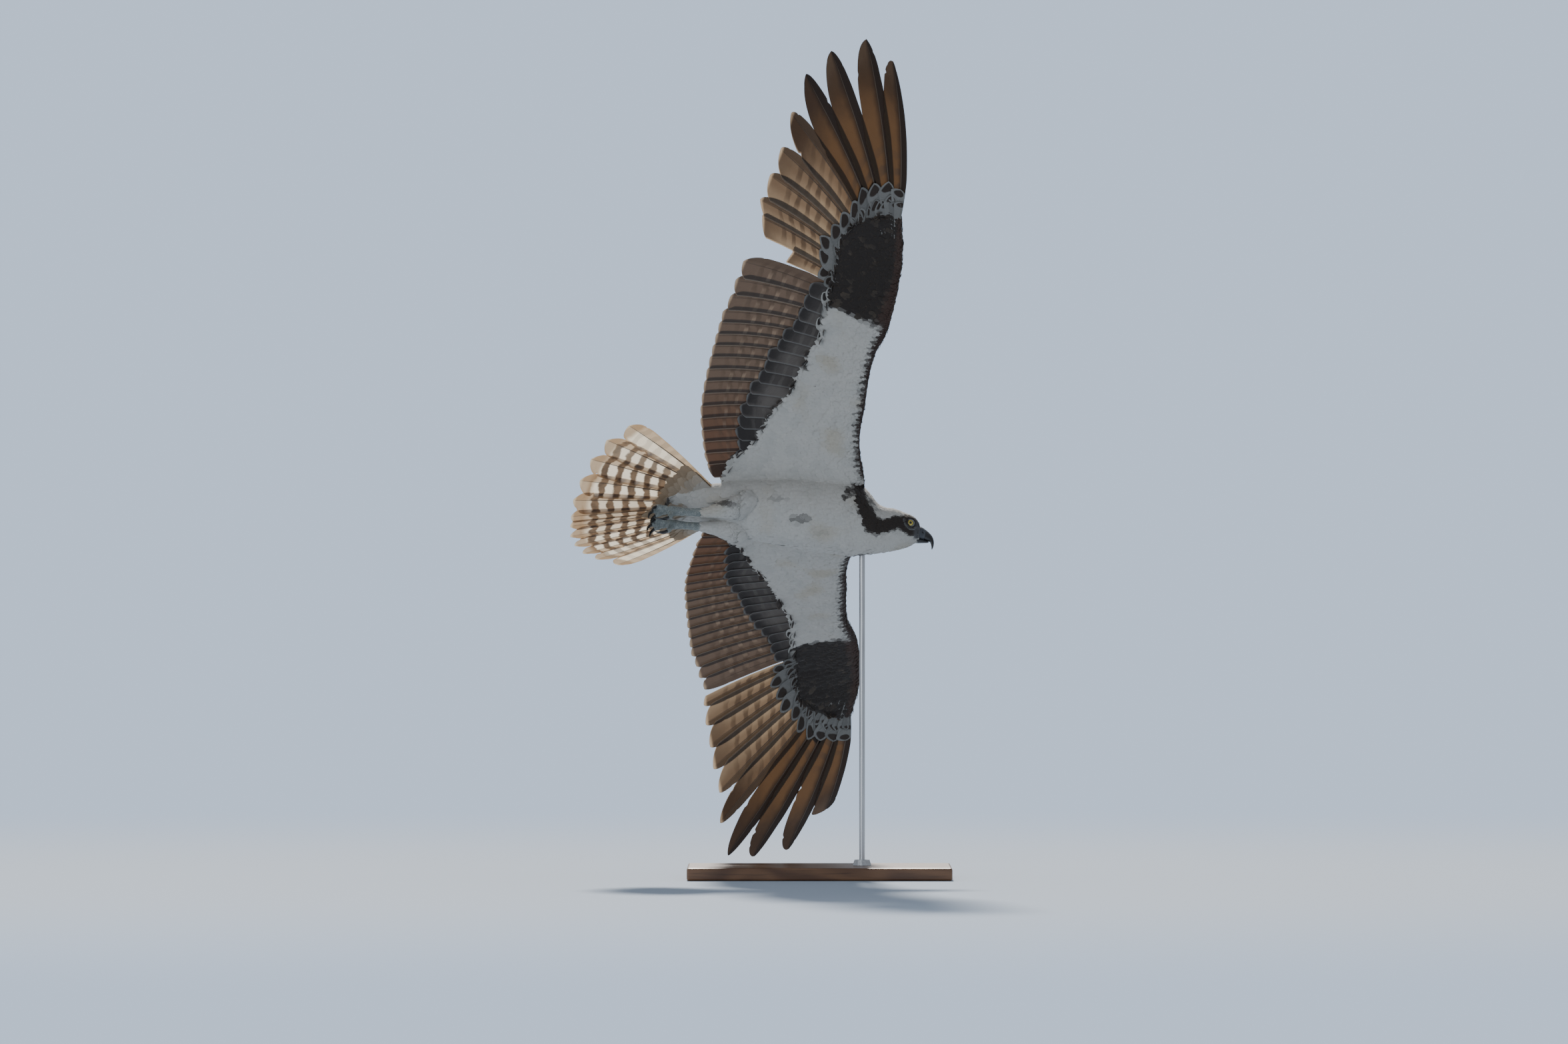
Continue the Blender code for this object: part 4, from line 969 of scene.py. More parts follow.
# Markings, shared by the skin and the coat, from places on the bird
marks = {
    "white": (0.60, 0.585, 0.545), "shade": (0.50, 0.50, 0.47), "stain": (0.46, 0.385, 0.24),
    "dorsal": (0.032, 0.022, 0.016), "dorsalFringe": (0.125, 0.09, 0.063),
    "stripe": (0.024, 0.017, 0.013), "stripeFringe": (0.05, 0.034, 0.025),
    "carpal": (0.020, 0.014, 0.011), "carpalFringe": (0.042, 0.03, 0.022),
    "lore": (0.10, 0.10, 0.105),
    # the dark stripe down the side of head and neck: x, then its edges as degrees from the crown
    "stripeTop": ((90, 0), (112, 0), (113.5, 58), (116, 76), (120, 86), (127, 85), (133, 82), (137, 85),
                  (142, 83), (151, 77), (160, 73), (164, 67), (171, 61), (177, 54), (184, 38), (191, 34),
                  (198, 30), (205, 22)),
    "stripeBottom": ((60, 62), (90, 72), (100, 84), (104, 100), (107, 116), (110.5, 124), (115.6, 131),
                     (118, 138), (122, 143), (126, 143), (131, 136), (139, 124), (146, 117), (160, 112),
                     (166, 109), (171, 103), (178, 107), (185, 115), (190, 123), (205, 128)),
    "dorsalSide": ((-205, 95), (-150, 84), (-118, 70), (-100, 58), (0, 56), (60, 56), (104, 58)),
    # smudges on the body: x, degrees from the back, length, width, strength
    "smudges": ((90, 110, 6, 5, 0.95), (93, 96, 6, 7, 0.95), (101, 90, 6, 5, 0.9), (97, 101, 5, 5, 0.8),
                (-107, 139, 17, 5, 0.75), (-92, 141, 13, 4, 0.55), (22, 157, 17, 7, 0.6), (30, 150, 9, 5, 0.45),
                (-14, 124, 16, 6, 0.3), (60, 172, 12, 8, 0.12)),
    "liningSpots": ((12, 232, 4.5), (28, 205, 2.5)),
    "carpalRear": ((300, 106), (316, 90), (328, 58), (340, 26), (362, 18), (388, 16), (410, 22), (440, 30),
                   (470, 40), (486, 58), (498, 92), (512, 118)),
    "carpalInner": 314,
}
eye = {"x": 186.3, "height": -10.1, "side": 13.0, "radius": 8.6, "forward": 14.0, "headSide": -5.7, "opening": 5.6}


def headPoint(x, height, side):
    left, up = headAxes(bodyForm["neckFront"])
    return Vector((x, 0, 0)) + height * up + (eye["headSide"] + side) * left


def eyeAim(side):
    left, _ = headAxes(bodyForm["neckFront"])
    turn = math.radians(eye["forward"])
    return math.cos(turn) * side * left + math.sin(turn) * Vector((1, 0, 0))


def roundBody(points):  # degrees from the crown or back, and which side, for points on the body
    x = points[:, 0]
    t = np.clip((x - bodyForm["rollStarts"]) / (bodyForm["neckFront"] - bodyForm["rollStarts"]), 0, 1)
    roll = math.radians(bodyForm["headRoll"]) * t * t * (3 - 2 * t)
    table = np.array(bodyForm["sections"])
    y = points[:, 1] - np.interp(x, table[:, 0], table[:, 1])
    z = points[:, 2] - np.interp(x, table[:, 0], table[:, 2])
    wide = np.interp(x, table[:, 0], table[:, 3])
    high = np.interp(x, table[:, 0], table[:, 4])
    left = (y * np.cos(roll) + z * np.sin(roll)) / wide
    up = (-y * np.sin(roll) + z * np.cos(roll)) / high
    return np.degrees(np.arctan2(np.abs(left), up)), left, wide


def wingPlace(points):  # distance out, height above the wing's middle surface, how surely it is wing
    out = np.abs(points[:, 1])
    table = np.array(wingSurface)
    edge, high, chord, fall, camber = (np.interp(out, table[:, 0], table[:, k]) for k in range(1, 6))
    u = (edge - points[:, 0]) / chord
    middle = high - fall * u + camber * 4 * u * (1 - u)
    body = np.array(bodyForm["sections"])
    wide = np.interp(points[:, 0], body[:, 0], body[:, 3])
    isWing = (out > wide + 3) & (points[:, 0] > -118) & (points[:, 0] < 140)
    return out, points[:, 2] - middle, isWing, edge - points[:, 0]


def markingsOf(points, normals):
    m = {key: np.array(value) for key, value in marks.items() if isinstance(value[0] if isinstance(value, tuple) else 0, float)}
    x = points[:, 0]
    angle, left, wide = roundBody(points)
    out, above, isWing, behind = wingPlace(points)
    rough, fine = spread(points, 22), spread(points, 5, 9.0)
    ragged = rough * 4 + fine * 6
    tint = np.tile(m["white"], (len(points), 1))
    fringe = tint.copy()

    def paint(share, colour, edge=None):
        nonlocal tint, fringe
        share = np.clip(share, 0, 1)[:, None]
        tint = tint * (1 - share) + np.asarray(colour) * share
        fringe = fringe * (1 - share) + np.asarray(edge if edge is not None else colour) * share

    paint(smoothStep(-0.2, 0.6, rough) * 0.4, m["shade"])
    paint(smoothStep(0.15, 0.7, spread(points, 45, 3.0)) * 0.32, m["stain"])
    # the back, and the stripe that runs from the bill through the eye and widens down the neck
    side = np.interp(x, *np.array(marks["dorsalSide"]).T)
    back = smoothStep(4, -4, angle + ragged - side) * (x < 112)
    overWing = smoothStep(-1, 4, above + ragged * 0.4) * (x > -112) * (x < 104) * (angle < 105)
    back = np.maximum(back, overWing)
    paint(back, m["dorsal"], m["dorsalFringe"])
    top = np.interp(x, *np.array(marks["stripeTop"]).T)
    bottom = np.interp(x, *np.array(marks["stripeBottom"]).T)
    stripe = smoothStep(-3, 3, angle + ragged * 0.8 - top) * smoothStep(3, -3, angle + ragged * 0.8 - bottom) * (x > 62)
    stripe = np.where(x < 112, smoothStep(3, -3, angle + ragged * 0.8 - bottom) * smoothStep(70, 96, x), stripe)
    paint(stripe, m["stripe"], m["stripeFringe"])
    nape = smoothStep(112, 116, x) * smoothStep(150, 124, x) * (angle < top + 4)
    paint(nape * smoothStep(0.0, 0.35, fine + 0.3 * rough) * 0.75, m["dorsal"])
    crown = smoothStep(150, 160, x) * smoothStep(198, 188, x) * smoothStep(30, 18, angle)
    paint(crown * smoothStep(0.1, 0.4, fine) * 0.55, m["dorsal"])
    paint(smoothStep(194, 200, x) * smoothStep(150, 136, angle), m["lore"])
    for at, turn, long, broad, strength in marks["smudges"]:
        away = np.hypot((x - at) / long, (angle - turn) / 57.3 * wide / broad) + 0.5 * fine
        paint(smoothStep(1.25, 0.6, away) * strength * (~isWing) * (left < 0), (0.035, 0.027, 0.022))
    # pale crescent behind and below the eye
    for s, _ in sides:
        middle = np.array(headPoint(eye["x"], eye["height"], 0) + eyeAim(s) * 21)
        gap = points - middle
        away = np.linalg.norm(gap, axis=1)
        low = gap @ np.array(headAxes(bodyForm["neckFront"])[1])
        paint(smoothStep(1.3, 0.5, np.abs(away - 11.0)) * smoothStep(1.5, -3.0, low + gap[:, 0] * 0.5) * (np.sign(left) == s) * 0.7,
              (0.26, 0.27, 0.27))
    # wings: white lining, dark patch at the wrist, small ticks along the leading edge, dark upper side
    under = isWing & (above < -1.9)
    over = isWing & ~under
    tint[under], fringe[under] = m["white"], m["white"]
    paint(under * smoothStep(-0.2, 0.6, rough) * 0.45, m["shade"])
    paint(under * smoothStep(0.2, 0.65, spread(points, 38, 5.0)) * 0.4, m["stain"])
    paint(over, m["dorsal"], m["dorsalFringe"])
    for at, away, size in marks["liningSpots"]:
        gap = np.hypot(x - at, out - away) + 1.2 * fine
        paint(under * (points[:, 1] < 0) * smoothStep(size + 1.5, size - 1, gap) * 0.85, m["stripe"])
    rear = np.interp(out, *np.array(marks["carpalRear"]).T)
    carpal = under * smoothStep(-5, 5, x + ragged - rear) * smoothStep(-7, 5, out + ragged * 1.6 - marks["carpalInner"])
    paint(carpal, m["carpal"], m["carpalFringe"])
    paint(carpal * smoothStep(0.32, 0.5, spread(points, 9, 2.0)) * 0.35, (0.15, 0.115, 0.08))
    tick = smoothStep(-0.1, 0.4, np.sin(out * 0.66 + 2 * rough)) * smoothStep(8.5, 5.0, behind + 1.5 * fine)
    paint(under * tick * smoothStep(70, 90, out) * smoothStep(345, 325, out) * 0.9, m["stripe"])
    paint(under * smoothStep(3.2, 1.6, behind) * smoothStep(60, 75, out), (0.045, 0.026, 0.022))
    paint(under * smoothStep(14, 6, behind + 3 * fine) * smoothStep(300, 330, out) * 0.7, (0.07, 0.035, 0.024))
    return tint, fringe


coatPlan = {
    "tilt": 7.0, "tiltSpread": 4.0, "turnSpread": 7.0, "sizeSpread": 0.16,
    # piece: region, spacing in mm, slot
    "pieces": (("faceFeathers", 1, 1.5, "head"), ("headFeathers", 2, 1.9, "head"), ("neckFeathers", 3, 2.4, "underparts"),
               ("breastFeathers", 4, 3.0, "underparts"), ("bellyFeathers", 5, 3.2, "underparts"),
               ("backFeathers", 6, 4.2, "underparts"), ("liningFeathers_right", 7, 3.1, "wing"),
               ("liningFeathers_left", 8, 3.1, "wing"), ("scapularFeathers_right", 9, 4.4, "wing"),
               ("scapularFeathers_left", 10, 4.4, "wing"), ("legFeathers", 11, 2.6, "underparts")),
}


def dressSkin(made):  # per point: lie of the feathers, their length and colours; per face: the region it belongs to
    mesh = made.data
    count = len(mesh.vertices)
    raw = np.empty(count * 3)
    mesh.vertices.foreach_get("co", raw)
    points = toBird(raw)
    raw = np.empty(count * 3, np.float32)
    mesh.vertex_normals.foreach_get("vector", raw)
    turn = birdMatrix[:3, :3] * 1000
    normals = raw.reshape(-1, 3).astype(float) @ turn
    # eye sockets and brow
    for s, _ in sides:
        middle, aim = np.array(headPoint(eye["x"], eye["height"], 0)), np.array(eyeAim(s))
        gap = points - middle
        along = gap @ aim
        away = np.linalg.norm(gap - along[:, None] * aim, axis=1)
        inSocket = (along > 6) & (points[:, 0] > 160)
        points -= (smoothStep(6.8, 4.8, away) * 5.5 * inSocket)[:, None] * aim
        up = np.array(headAxes(bodyForm["neckFront"])[1])
        brow = np.exp(-(((gap @ up - 6.6) / 2.6) ** 2) - (((gap[:, 0] - 1.0) / 8.0) ** 2)) * inSocket
        points += (brow * 1.3)[:, None] * aim + (brow * 0.5)[:, None] * up
        ring = smoothStep(9.5, 7.5, away) * smoothStep(5.6, 6.8, away) * inSocket
        points -= (ring * 0.5)[:, None] * aim
    mesh.vertices.foreach_set("co", toWorld(points).ravel())
    tint, fringe = markingsOf(points, normals)
    x = points[:, 0]
    angle, left, wide = roundBody(points)
    out, above, isWing, behind = wingPlace(points)
    under = isWing & (above < 0)
    plume = np.interp(x, (-205, -150, -60, 40, 100, 130, 160, 180, 195, 205), (20, 19, 17, 15, 12, 10, 8, 5.6, 3.6, 3.0))
    plume = np.where(isWing, np.interp(behind, (0, 8, 25, 60), (5, 9, 14, 18)), plume)
    plume = np.where(isWing & (above >= 0), np.interp(behind, (0, 10, 40, 90), (7, 12, 17, 19)), plume)
    lie = np.tile((-1.0, 0.0, 0.0), (count, 1))
    side = np.sign(points[:, 1])
    swing = np.radians(np.interp(out, (60, 120, 300, 345, 400, 450, 500), (4, 10, 14, 24, 44, 58, 66)))
    wingLie = np.stack([-np.cos(swing), side * np.sin(swing), np.zeros(count)], 1)
    share = smoothStep(0, 26, out - wide)[:, None] * isWing[:, None]
    lie = lie * (1 - share) + wingLie * share
    onLeg = np.zeros(count, bool)
    for s, _ in sides:
        legs = np.array(thigh)
        y = s * np.interp(-x, -legs[:, 0], legs[:, 1]) + legShift
        z = np.interp(-x, -legs[:, 0], legs[:, 2])
        r = np.interp(-x, -legs[:, 0], legs[:, 3])
        onLeg |= (np.hypot(points[:, 1] - y, points[:, 2] - z) < r + 0.6) & (x < -72) & (x > -150) & (angle > 100)
    plume = np.where(onLeg, 9, plume)
    worldLie = lie @ birdMatrix[:3, :3].T * 1000
    for key, kind, values in (("lie", "FLOAT_VECTOR", worldLie), ("tint", "FLOAT_VECTOR", tint),
                              ("fringe", "FLOAT_VECTOR", fringe), ("plume", "FLOAT", plume * 0.001)):
        mesh.attributes.new(key, kind, "POINT").data.foreach_set(
            "value" if kind == "FLOAT" else "vector", np.asarray(values, np.float32).ravel())
    # region of each face, and an unwrap of each region's own shape
    total = len(mesh.polygons)
    corners = np.empty(len(mesh.loops), np.int32)
    mesh.loops.foreach_get("vertex_index", corners)
    starts = np.empty(total, np.int32)
    mesh.polygons.foreach_get("loop_start", starts)
    sizes = np.empty(total, np.int32)
    mesh.polygons.foreach_get("loop_total", sizes)
    faceOf = np.repeat(np.arange(total), sizes)
    centre = np.add.reduceat(points[corners], starts) / sizes[:, None]
    angle, left, wide = roundBody(centre)
    out, above, isWing, behind = wingPlace(centre)
    x = centre[:, 0]
    region = np.select(
        [(x < -141.5) & (centre[:, 2] < -44), isWing & (above < 0) & (centre[:, 1] < 0), isWing & (above < 0), isWing & (centre[:, 1] < 0), isWing,
         np.add.reduceat(onLeg[corners].astype(int), starts) > 1, x > 180, x > 148, x > 108,
         angle < np.interp(x, *np.array(marks["dorsalSide"]).T), x > 0],
        [0, 7, 8, 9, 10, 11, 1, 2, 3, 6, 4], 5)
    for s, _ in sides:  # bare round the eye
        middle, aim = np.array(headPoint(eye["x"], eye["height"], 0)), np.array(eyeAim(s))
        gap = centre - middle
        along = gap @ aim
        away = np.linalg.norm(gap - along[:, None] * aim, axis=1)
        region = np.where((away < 7.0) & (along > 4) & (x > 160), 0, region)
    region = np.where(x > 203.4, 0, region)
    mesh.attributes.new("region", "INT", "FACE").data.foreach_set("value", region.astype(np.int32))
    flat = mesh.uv_layers.new(name="skinPlan")
    corner = points[corners]
    turned = np.degrees(np.arctan2(left, 1)) * 0
    cornerAngle, cornerLeft, _ = roundBody(corner)
    signed = np.where(cornerLeft < 0, -cornerAngle, cornerAngle)
    middleAngle = np.where(left < 0, -angle, angle)[faceOf]
    signed = np.where(signed - middleAngle > 180, signed - 360, np.where(signed - middleAngle < -180, signed + 360, signed))
    u = np.where(isWing[faceOf], np.abs(corner[:, 1]), signed + 180)
    v = corner[:, 0].copy()
    regionOf = region[faceOf]
    for n in range(12):
        chosen = regionOf == n
        if chosen.any():
            for values in (u, v):
                low, high = values[chosen].min(), values[chosen].max()
                values[chosen] = 0.02 + 0.96 * (values[chosen] - low) / max(high - low, 1e-6)
    flat.data.foreach_set("uv", np.stack([u, v], 1).astype(np.float32).ravel())
    print("regions", {int(n): int((region == n).sum()) for n in np.unique(region)})


dressSkin(skin)


def smallFeather():  # one body feather, closed, a unit long from its root, lying along +y with its back up
    rows = ((0.0, 0.07, 0.0), (0.3, 0.24, 0.03), (0.62, 0.31, 0.035), (0.86, 0.23, 0.015), (1.0, 0.05, -0.02))
    points, faces = [], []
    vane = []
    for s, half, rise in rows:
        points += [(-half, s, rise - 0.05 * half), (0, s, rise + 0.055), (half, s, rise - 0.05 * half)]
        vane += [(-half / 0.31, s, 0), (0, s, 0), (half / 0.31, s, 0)]
    for r in range(len(rows) - 1):
        a, b = 3 * r, 3 * r + 3
        faces += [(a, a + 1, b + 1, b), (a + 1, a + 2, b + 2, b + 1), (a + 2, a, b, b + 2)]
    faces += [(0, 2, 1), (12, 13, 14)]
    mesh = bpy.data.meshes.new("smallFeather")
    mesh.from_pydata(points, [], faces)
    mesh.attributes.new("vane", "FLOAT_VECTOR", "POINT").data.foreach_set("vector", np.array(vane, np.float32).ravel())
    flat = mesh.uv_layers.new(name="featherPlan")
    for loop in mesh.loops:
        c, s, _ = vane[loop.vertex_index]
        flat.data[loop.index].uv = (c * 0.5 + 0.5, s)
    mesh.shade_smooth()
    mesh.set_sharp_from_angle(angle=math.radians(100))
    made = bpy.data.objects.new("smallFeather", mesh)
    bpy.context.scene.collection.objects.link(made)
    return made


def coatTree(finish):
    tree = bpy.data.node_groups.new("featherCoat", "GeometryNodeTree")
    face = tree.interface
    face.new_socket(name="Geometry", in_out="INPUT", socket_type="NodeSocketGeometry")
    inputs = {}
    for label, kind in (("Region", "NodeSocketInt"), ("Spacing", "NodeSocketFloat"), ("Seed", "NodeSocketInt"),
                        ("Feather", "NodeSocketObject"), ("Tilt", "NodeSocketFloat"), ("Tilt spread", "NodeSocketFloat"),
                        ("Turn spread", "NodeSocketFloat"), ("Size spread", "NodeSocketFloat")):
        inputs[label] = face.new_socket(name=label, in_out="INPUT", socket_type=kind).identifier
    face.new_socket(name="Geometry", in_out="OUTPUT", socket_type="NodeSocketGeometry")
    add, link = tree.nodes.new, tree.links.new
    start, end = add("NodeGroupInput"), add("NodeGroupOutput")

    def named(key, kind):
        node = add("GeometryNodeInputNamedAttribute")
        node.data_type = kind
        node.inputs["Name"].default_value = key
        return node.outputs["Attribute"]

    def drawn(low, high, salt):
        node = add("FunctionNodeRandomValue")
        node.data_type = "FLOAT"
        for k, value in ((2, low), (3, high)):
            if hasattr(value, "is_output"):
                link(value, node.inputs[k])
            else:
                node.inputs[k].default_value = value
        more = add("ShaderNodeMath")
        more.inputs[1].default_value = salt
        link(start.outputs["Seed"], more.inputs[0])
        link(more.outputs[0], node.inputs["Seed"])
        return node.outputs[1]

    def sums(kind, a, b):
        node = add("ShaderNodeMath")
        node.operation = kind
        for k, value in enumerate((a, b)):
            if hasattr(value, "is_output"):
                link(value, node.inputs[k])
            else:
                node.inputs[k].default_value = value
        return node.outputs[0]

    same = add("FunctionNodeCompare")
    same.data_type = "INT"
    same.operation = "EQUAL"
    link(named("region", "INT"), same.inputs[2])
    link(start.outputs["Region"], same.inputs[3])
    scatter = add("GeometryNodeDistributePointsOnFaces")
    scatter.distribute_method = "POISSON"
    link(start.outputs["Geometry"], scatter.inputs["Mesh"])
    link(same.outputs[0], scatter.inputs["Selection"])
    link(start.outputs["Spacing"], scatter.inputs["Distance Min"])
    scatter.inputs["Density Max"].default_value = 2.0e6
    link(start.outputs["Seed"], scatter.inputs["Seed"])
    stand = add("FunctionNodeAlignRotationToVector")
    stand.axis = "Z"
    link(scatter.outputs["Normal"], stand.inputs["Vector"])
    point = add("FunctionNodeAlignRotationToVector")
    point.axis, point.pivot_axis = "Y", "Z"
    link(stand.outputs[0], point.inputs["Rotation"])
    link(named("lie", "FLOAT_VECTOR"), point.inputs["Vector"])
    tilt = sums("RADIANS", sums("ADD", start.outputs["Tilt"], drawn(sums("MULTIPLY", start.outputs["Tilt spread"], -1), start.outputs["Tilt spread"], 1)), 0)
    swing = sums("RADIANS", drawn(sums("MULTIPLY", start.outputs["Turn spread"], -1), start.outputs["Turn spread"], 2), 0)
    angles = add("ShaderNodeCombineXYZ")
    link(tilt, angles.inputs[0])
    link(sums("MULTIPLY", swing, 0.6), angles.inputs[1])
    link(swing, angles.inputs[2])
    turn = add("FunctionNodeEulerToRotation")
    link(angles.outputs[0], turn.inputs[0])
    turned = add("FunctionNodeRotateRotation")
    turned.rotation_space = "LOCAL"
    link(point.outputs[0], turned.inputs["Rotation"])
    link(turn.outputs[0], turned.inputs["Rotate By"])
    size = sums("MULTIPLY", named("plume", "FLOAT"), drawn(sums("SUBTRACT", 1, start.outputs["Size spread"]), sums("ADD", 1, start.outputs["Size spread"]), 3))
    source = add("GeometryNodeObjectInfo")
    link(start.outputs["Feather"], source.inputs["Object"])
    keep = add("GeometryNodeStoreNamedAttribute")
    keep.data_type, keep.domain = "FLOAT", "POINT"
    keep.inputs["Name"].default_value = "chance"
    link(scatter.outputs["Points"], keep.inputs["Geometry"])
    link(drawn(0.0, 1.0, 4), keep.inputs["Value"])
    place = add("GeometryNodeInstanceOnPoints")
    link(keep.outputs[0], place.inputs["Points"])
    link(source.outputs["Geometry"], place.inputs["Instance"])
    link(turned.outputs[0], place.inputs["Rotation"])
    link(size, place.inputs["Scale"])
    real = add("GeometryNodeRealizeInstances")
    link(place.outputs[0], real.inputs[0])
    # each feather is a small patch at its root's place on the skin's own unwrap
    shrink = add("ShaderNodeVectorMath")
    shrink.operation = "SCALE"
    shrink.inputs["Scale"].default_value = 0.003
    link(named("featherPlan", "FLOAT_VECTOR"), shrink.inputs[0])
    patch = add("ShaderNodeVectorMath")
    link(shrink.outputs[0], patch.inputs[0])
    link(named("skinPlan", "FLOAT_VECTOR"), patch.inputs[1])
    store = add("GeometryNodeStoreNamedAttribute")
    store.data_type, store.domain = "FLOAT2", "CORNER"
    store.inputs["Name"].default_value = "OFBake"
    link(real.outputs[0], store.inputs["Geometry"])
    link(patch.outputs[0], store.inputs["Value"])
    paint = add("GeometryNodeSetMaterial")
    paint.inputs["Material"].default_value = finish
    link(store.outputs[0], paint.inputs["Geometry"])
    link(paint.outputs[0], end.inputs[0])
    return tree, inputs


def coatFinish():
    made, tree, shader = newFinish("bodyFeathers", 0.78, Sheen_Weight=0.15, Sheen_Roughness=0.5)
    c, s, _, _, _ = attribute(tree, "vane")
    _, _, _, _, tint = attribute(tree, "tint")
    _, _, _, _, fringe = attribute(tree, "fringe")
    chance = attribute(tree, "chance")[3]
    lines = grain(tree, 1.0, 2.0, vector=joined(tree, c * 3.0, (s * 16.0) - (c.size() * 6.0), chance * 50.0))
    relief(tree, shader, lines, 0.25, 0.0004)
    edge = c.size().rise(0.55, 0.95).high(s.rise(0.84, 0.97))
    colour = blend(tree, edge * 0.85, tint, fringe)
    tone = lines.rise(0.2, 0.8) * 0.5 + chance * 0.5
    colour = blend(tree, 0.22, colour, blend(tree, tone, (0.55, 0.55, 0.56), (1.0, 1.0, 1.0)), "MULTIPLY")
    tree.links.new(colour, shader.inputs["Base Color"])
    letThrough(tree, shader, colour, 0.16)
    return made


def skinFinish():
    made, tree, shader = newFinish("featherBed", 0.85)
    _, _, _, _, tint = attribute(tree, "tint")
    fine = grain(tree, 900.0, 3.0)
    colour = blend(tree, 0.35, tint, blend(tree, fine.rise(0.3, 0.7), (0.6, 0.6, 0.6), (1.0, 1.0, 1.0)), "MULTIPLY")
    tree.links.new(colour, shader.inputs["Base Color"])
    relief(tree, shader, fine, 0.5, 0.0008)
    return made


def makeCoat():
    finish = coatFinish()
    feather = smallFeather()
    tree, inputs = coatTree(finish)
    total = 0
    for seed, (name, region, spacing, slotName) in enumerate(coatPlan["pieces"]):
        made = bpy.data.objects.new(name, skin.data.copy())
        bpy.context.scene.collection.objects.link(made)
        layer = made.modifiers.new("coat", "NODES")
        layer.node_group = tree
        for label, value in (("Region", region), ("Spacing", spacing * 0.001), ("Seed", 11 + seed), ("Feather", feather),
                             ("Tilt", coatPlan["tilt"]), ("Tilt spread", coatPlan["tiltSpread"]),
                             ("Turn spread", coatPlan["turnSpread"]), ("Size spread", coatPlan["sizeSpread"])):
            layer[inputs[label]] = value
        old = made.data
        plainMesh(made)
        bpy.data.meshes.remove(old)
        made.data.name = name
        for key in ("lie", "plume", "region", "skinPlan", "featherPlan"):
            if key in made.data.attributes:
                made.data.attributes.remove(made.data.attributes[key])
        settle(made, slotName)
        triangles = sum(len(p.vertices) - 2 for p in made.data.polygons)
        total += triangles
        print(name, len(made.data.polygons) // 14, "feathers", triangles, "triangles")
    bpy.data.objects.remove(feather)
    print("coat", total)


makeCoat()
for key in ("lie", "plume", "region", "fringe", "skinPlan"):
    skin.data.attributes.remove(skin.data.attributes[key])
skin.data.materials.append(skinFinish())


# Eyes, lids, cere and bill

def eyeFrame(side):
    left, up = headAxes(bodyForm["neckFront"])
    aim = eyeAim(side)
    middle = headPoint(eye["x"], eye["height"], 0) + side * eye["side"] * left
    ahead = (Vector((1, 0, 0)) - aim.x * aim).normalized()
    rise = (up - up.dot(aim) * aim - up.dot(ahead) * ahead).normalized()
    return middle, aim, ahead, rise


def eyeFinish():
    made, tree, shader = newFinish("eyeball", 0.12, Coat_Weight=1.0, Coat_Roughness=0.02)
    away, across, up, _, _ = attribute(tree, "gaze")
    fibres = grain(tree, 3.0, 4.0, vector=joined(tree, across * 5.0, up * 5.0, away * 0.25))
    ring = grain(tree, 1.0, 2.0, vector=joined(tree, away * 1.5, across, up))
    colour = blend(tree, away.rise(2.2, 4.7), (0.52, 0.42, 0.045), (0.68, 0.55, 0.08))
    colour = blend(tree, fibres.rise(0.35, 0.7) * 0.45, colour, (0.42, 0.27, 0.02))
    colour = blend(tree, away.rise(4.25, 4.85), colour, (0.02, 0.014, 0.01))
    colour = blend(tree, (away + ring * 0.25).fall(2.05, 2.35), colour, (0.002, 0.002, 0.002))
    tree.links.new(colour, shader.inputs["Base Color"])
    return made


def lidFinish():
    made, tree, shader = newFinish("eyelid", 0.6)
    folds = grain(tree, 1400.0, 3.0)
    colour = blend(tree, folds.rise(0.35, 0.65), (0.12, 0.125, 0.13), (0.25, 0.26, 0.265))
    tree.links.new(colour, shader.inputs["Base Color"])
    relief(tree, shader, folds, 0.5, 0.0004)
    return made


def makeEyes():
    look, lidLook = eyeFinish(), lidFinish()
    for side, name in sides:
        middle, aim, ahead, rise = eyeFrame(side)
        around, rings = 48, 26
        points, gaze = [], []
        for r in range(rings + 1):
            a = math.pi * r / rings
            bulge = 0.45 * math.exp(-((math.sin(a) * eye["radius"] / 3.6) ** 2)) if a < 1.2 else 0
            for k in range(around):
                b = 2 * math.pi * k / around
                away = math.sin(a) * (math.cos(b) * ahead + math.sin(b) * rise)
                points.append(middle + (eye["radius"] + bulge) * (math.cos(a) * aim + away) - aim * 0.15)
                gaze.append((max(math.sin(a), 0.0) * eye["radius"] if a < 1.6 else 9.0, math.cos(b), math.sin(b)))
        made = meshObject(f"eyeball_{name}", points, ringFaces(rings + 1, around, closed=False), look, {"gaze": gaze}, sharp=0)
        form = bmesh.new()
        form.from_mesh(made.data)
        bmesh.ops.remove_doubles(form, verts=form.verts, dist=1e-6)
        bmesh.ops.recalc_face_normals(form, faces=form.faces)
        form.to_mesh(made.data)
        form.free()
        settle(made, "eye", f"eye_{name}")
        points, around, across = [], 64, 14
        for k in range(around):
            b = 2 * math.pi * k / around
            over = max(0, math.sin(b))
            spoke = (math.cos(b) * 1.03) * ahead + (math.sin(b) * (0.93 - 0.05 * over)) * rise
            for n in range(across):
                c = 2 * math.pi * n / across
                fold = 0.12 * math.sin(3 * c + 2.0)
                reach = 6.0 + (1.05 + fold) * math.cos(c)
                depth = 7.0 + 0.5 * over + (0.95 + fold) * math.sin(c) - 0.35 * max(0, math.cos(c)) * 1.4
                points.append(middle + spoke * reach + aim * depth)
        faces = []
        for k in range(around):
            m = (k + 1) % around
            for n in range(across):
                q = (n + 1) % across
                faces.append((k * across + n, k * across + q, m * across + q, m * across + n))
        made = meshObject(f"eyelids_{name}", points, faces, lidLook, sharp=0)
        faceOut(made)
        settle(made, "head")


def faceOut(made):
    form = bmesh.new()
    form.from_mesh(made.data)
    bmesh.ops.recalc_face_normals(form, faces=form.faces)
    form.to_mesh(made.data)
    form.free()


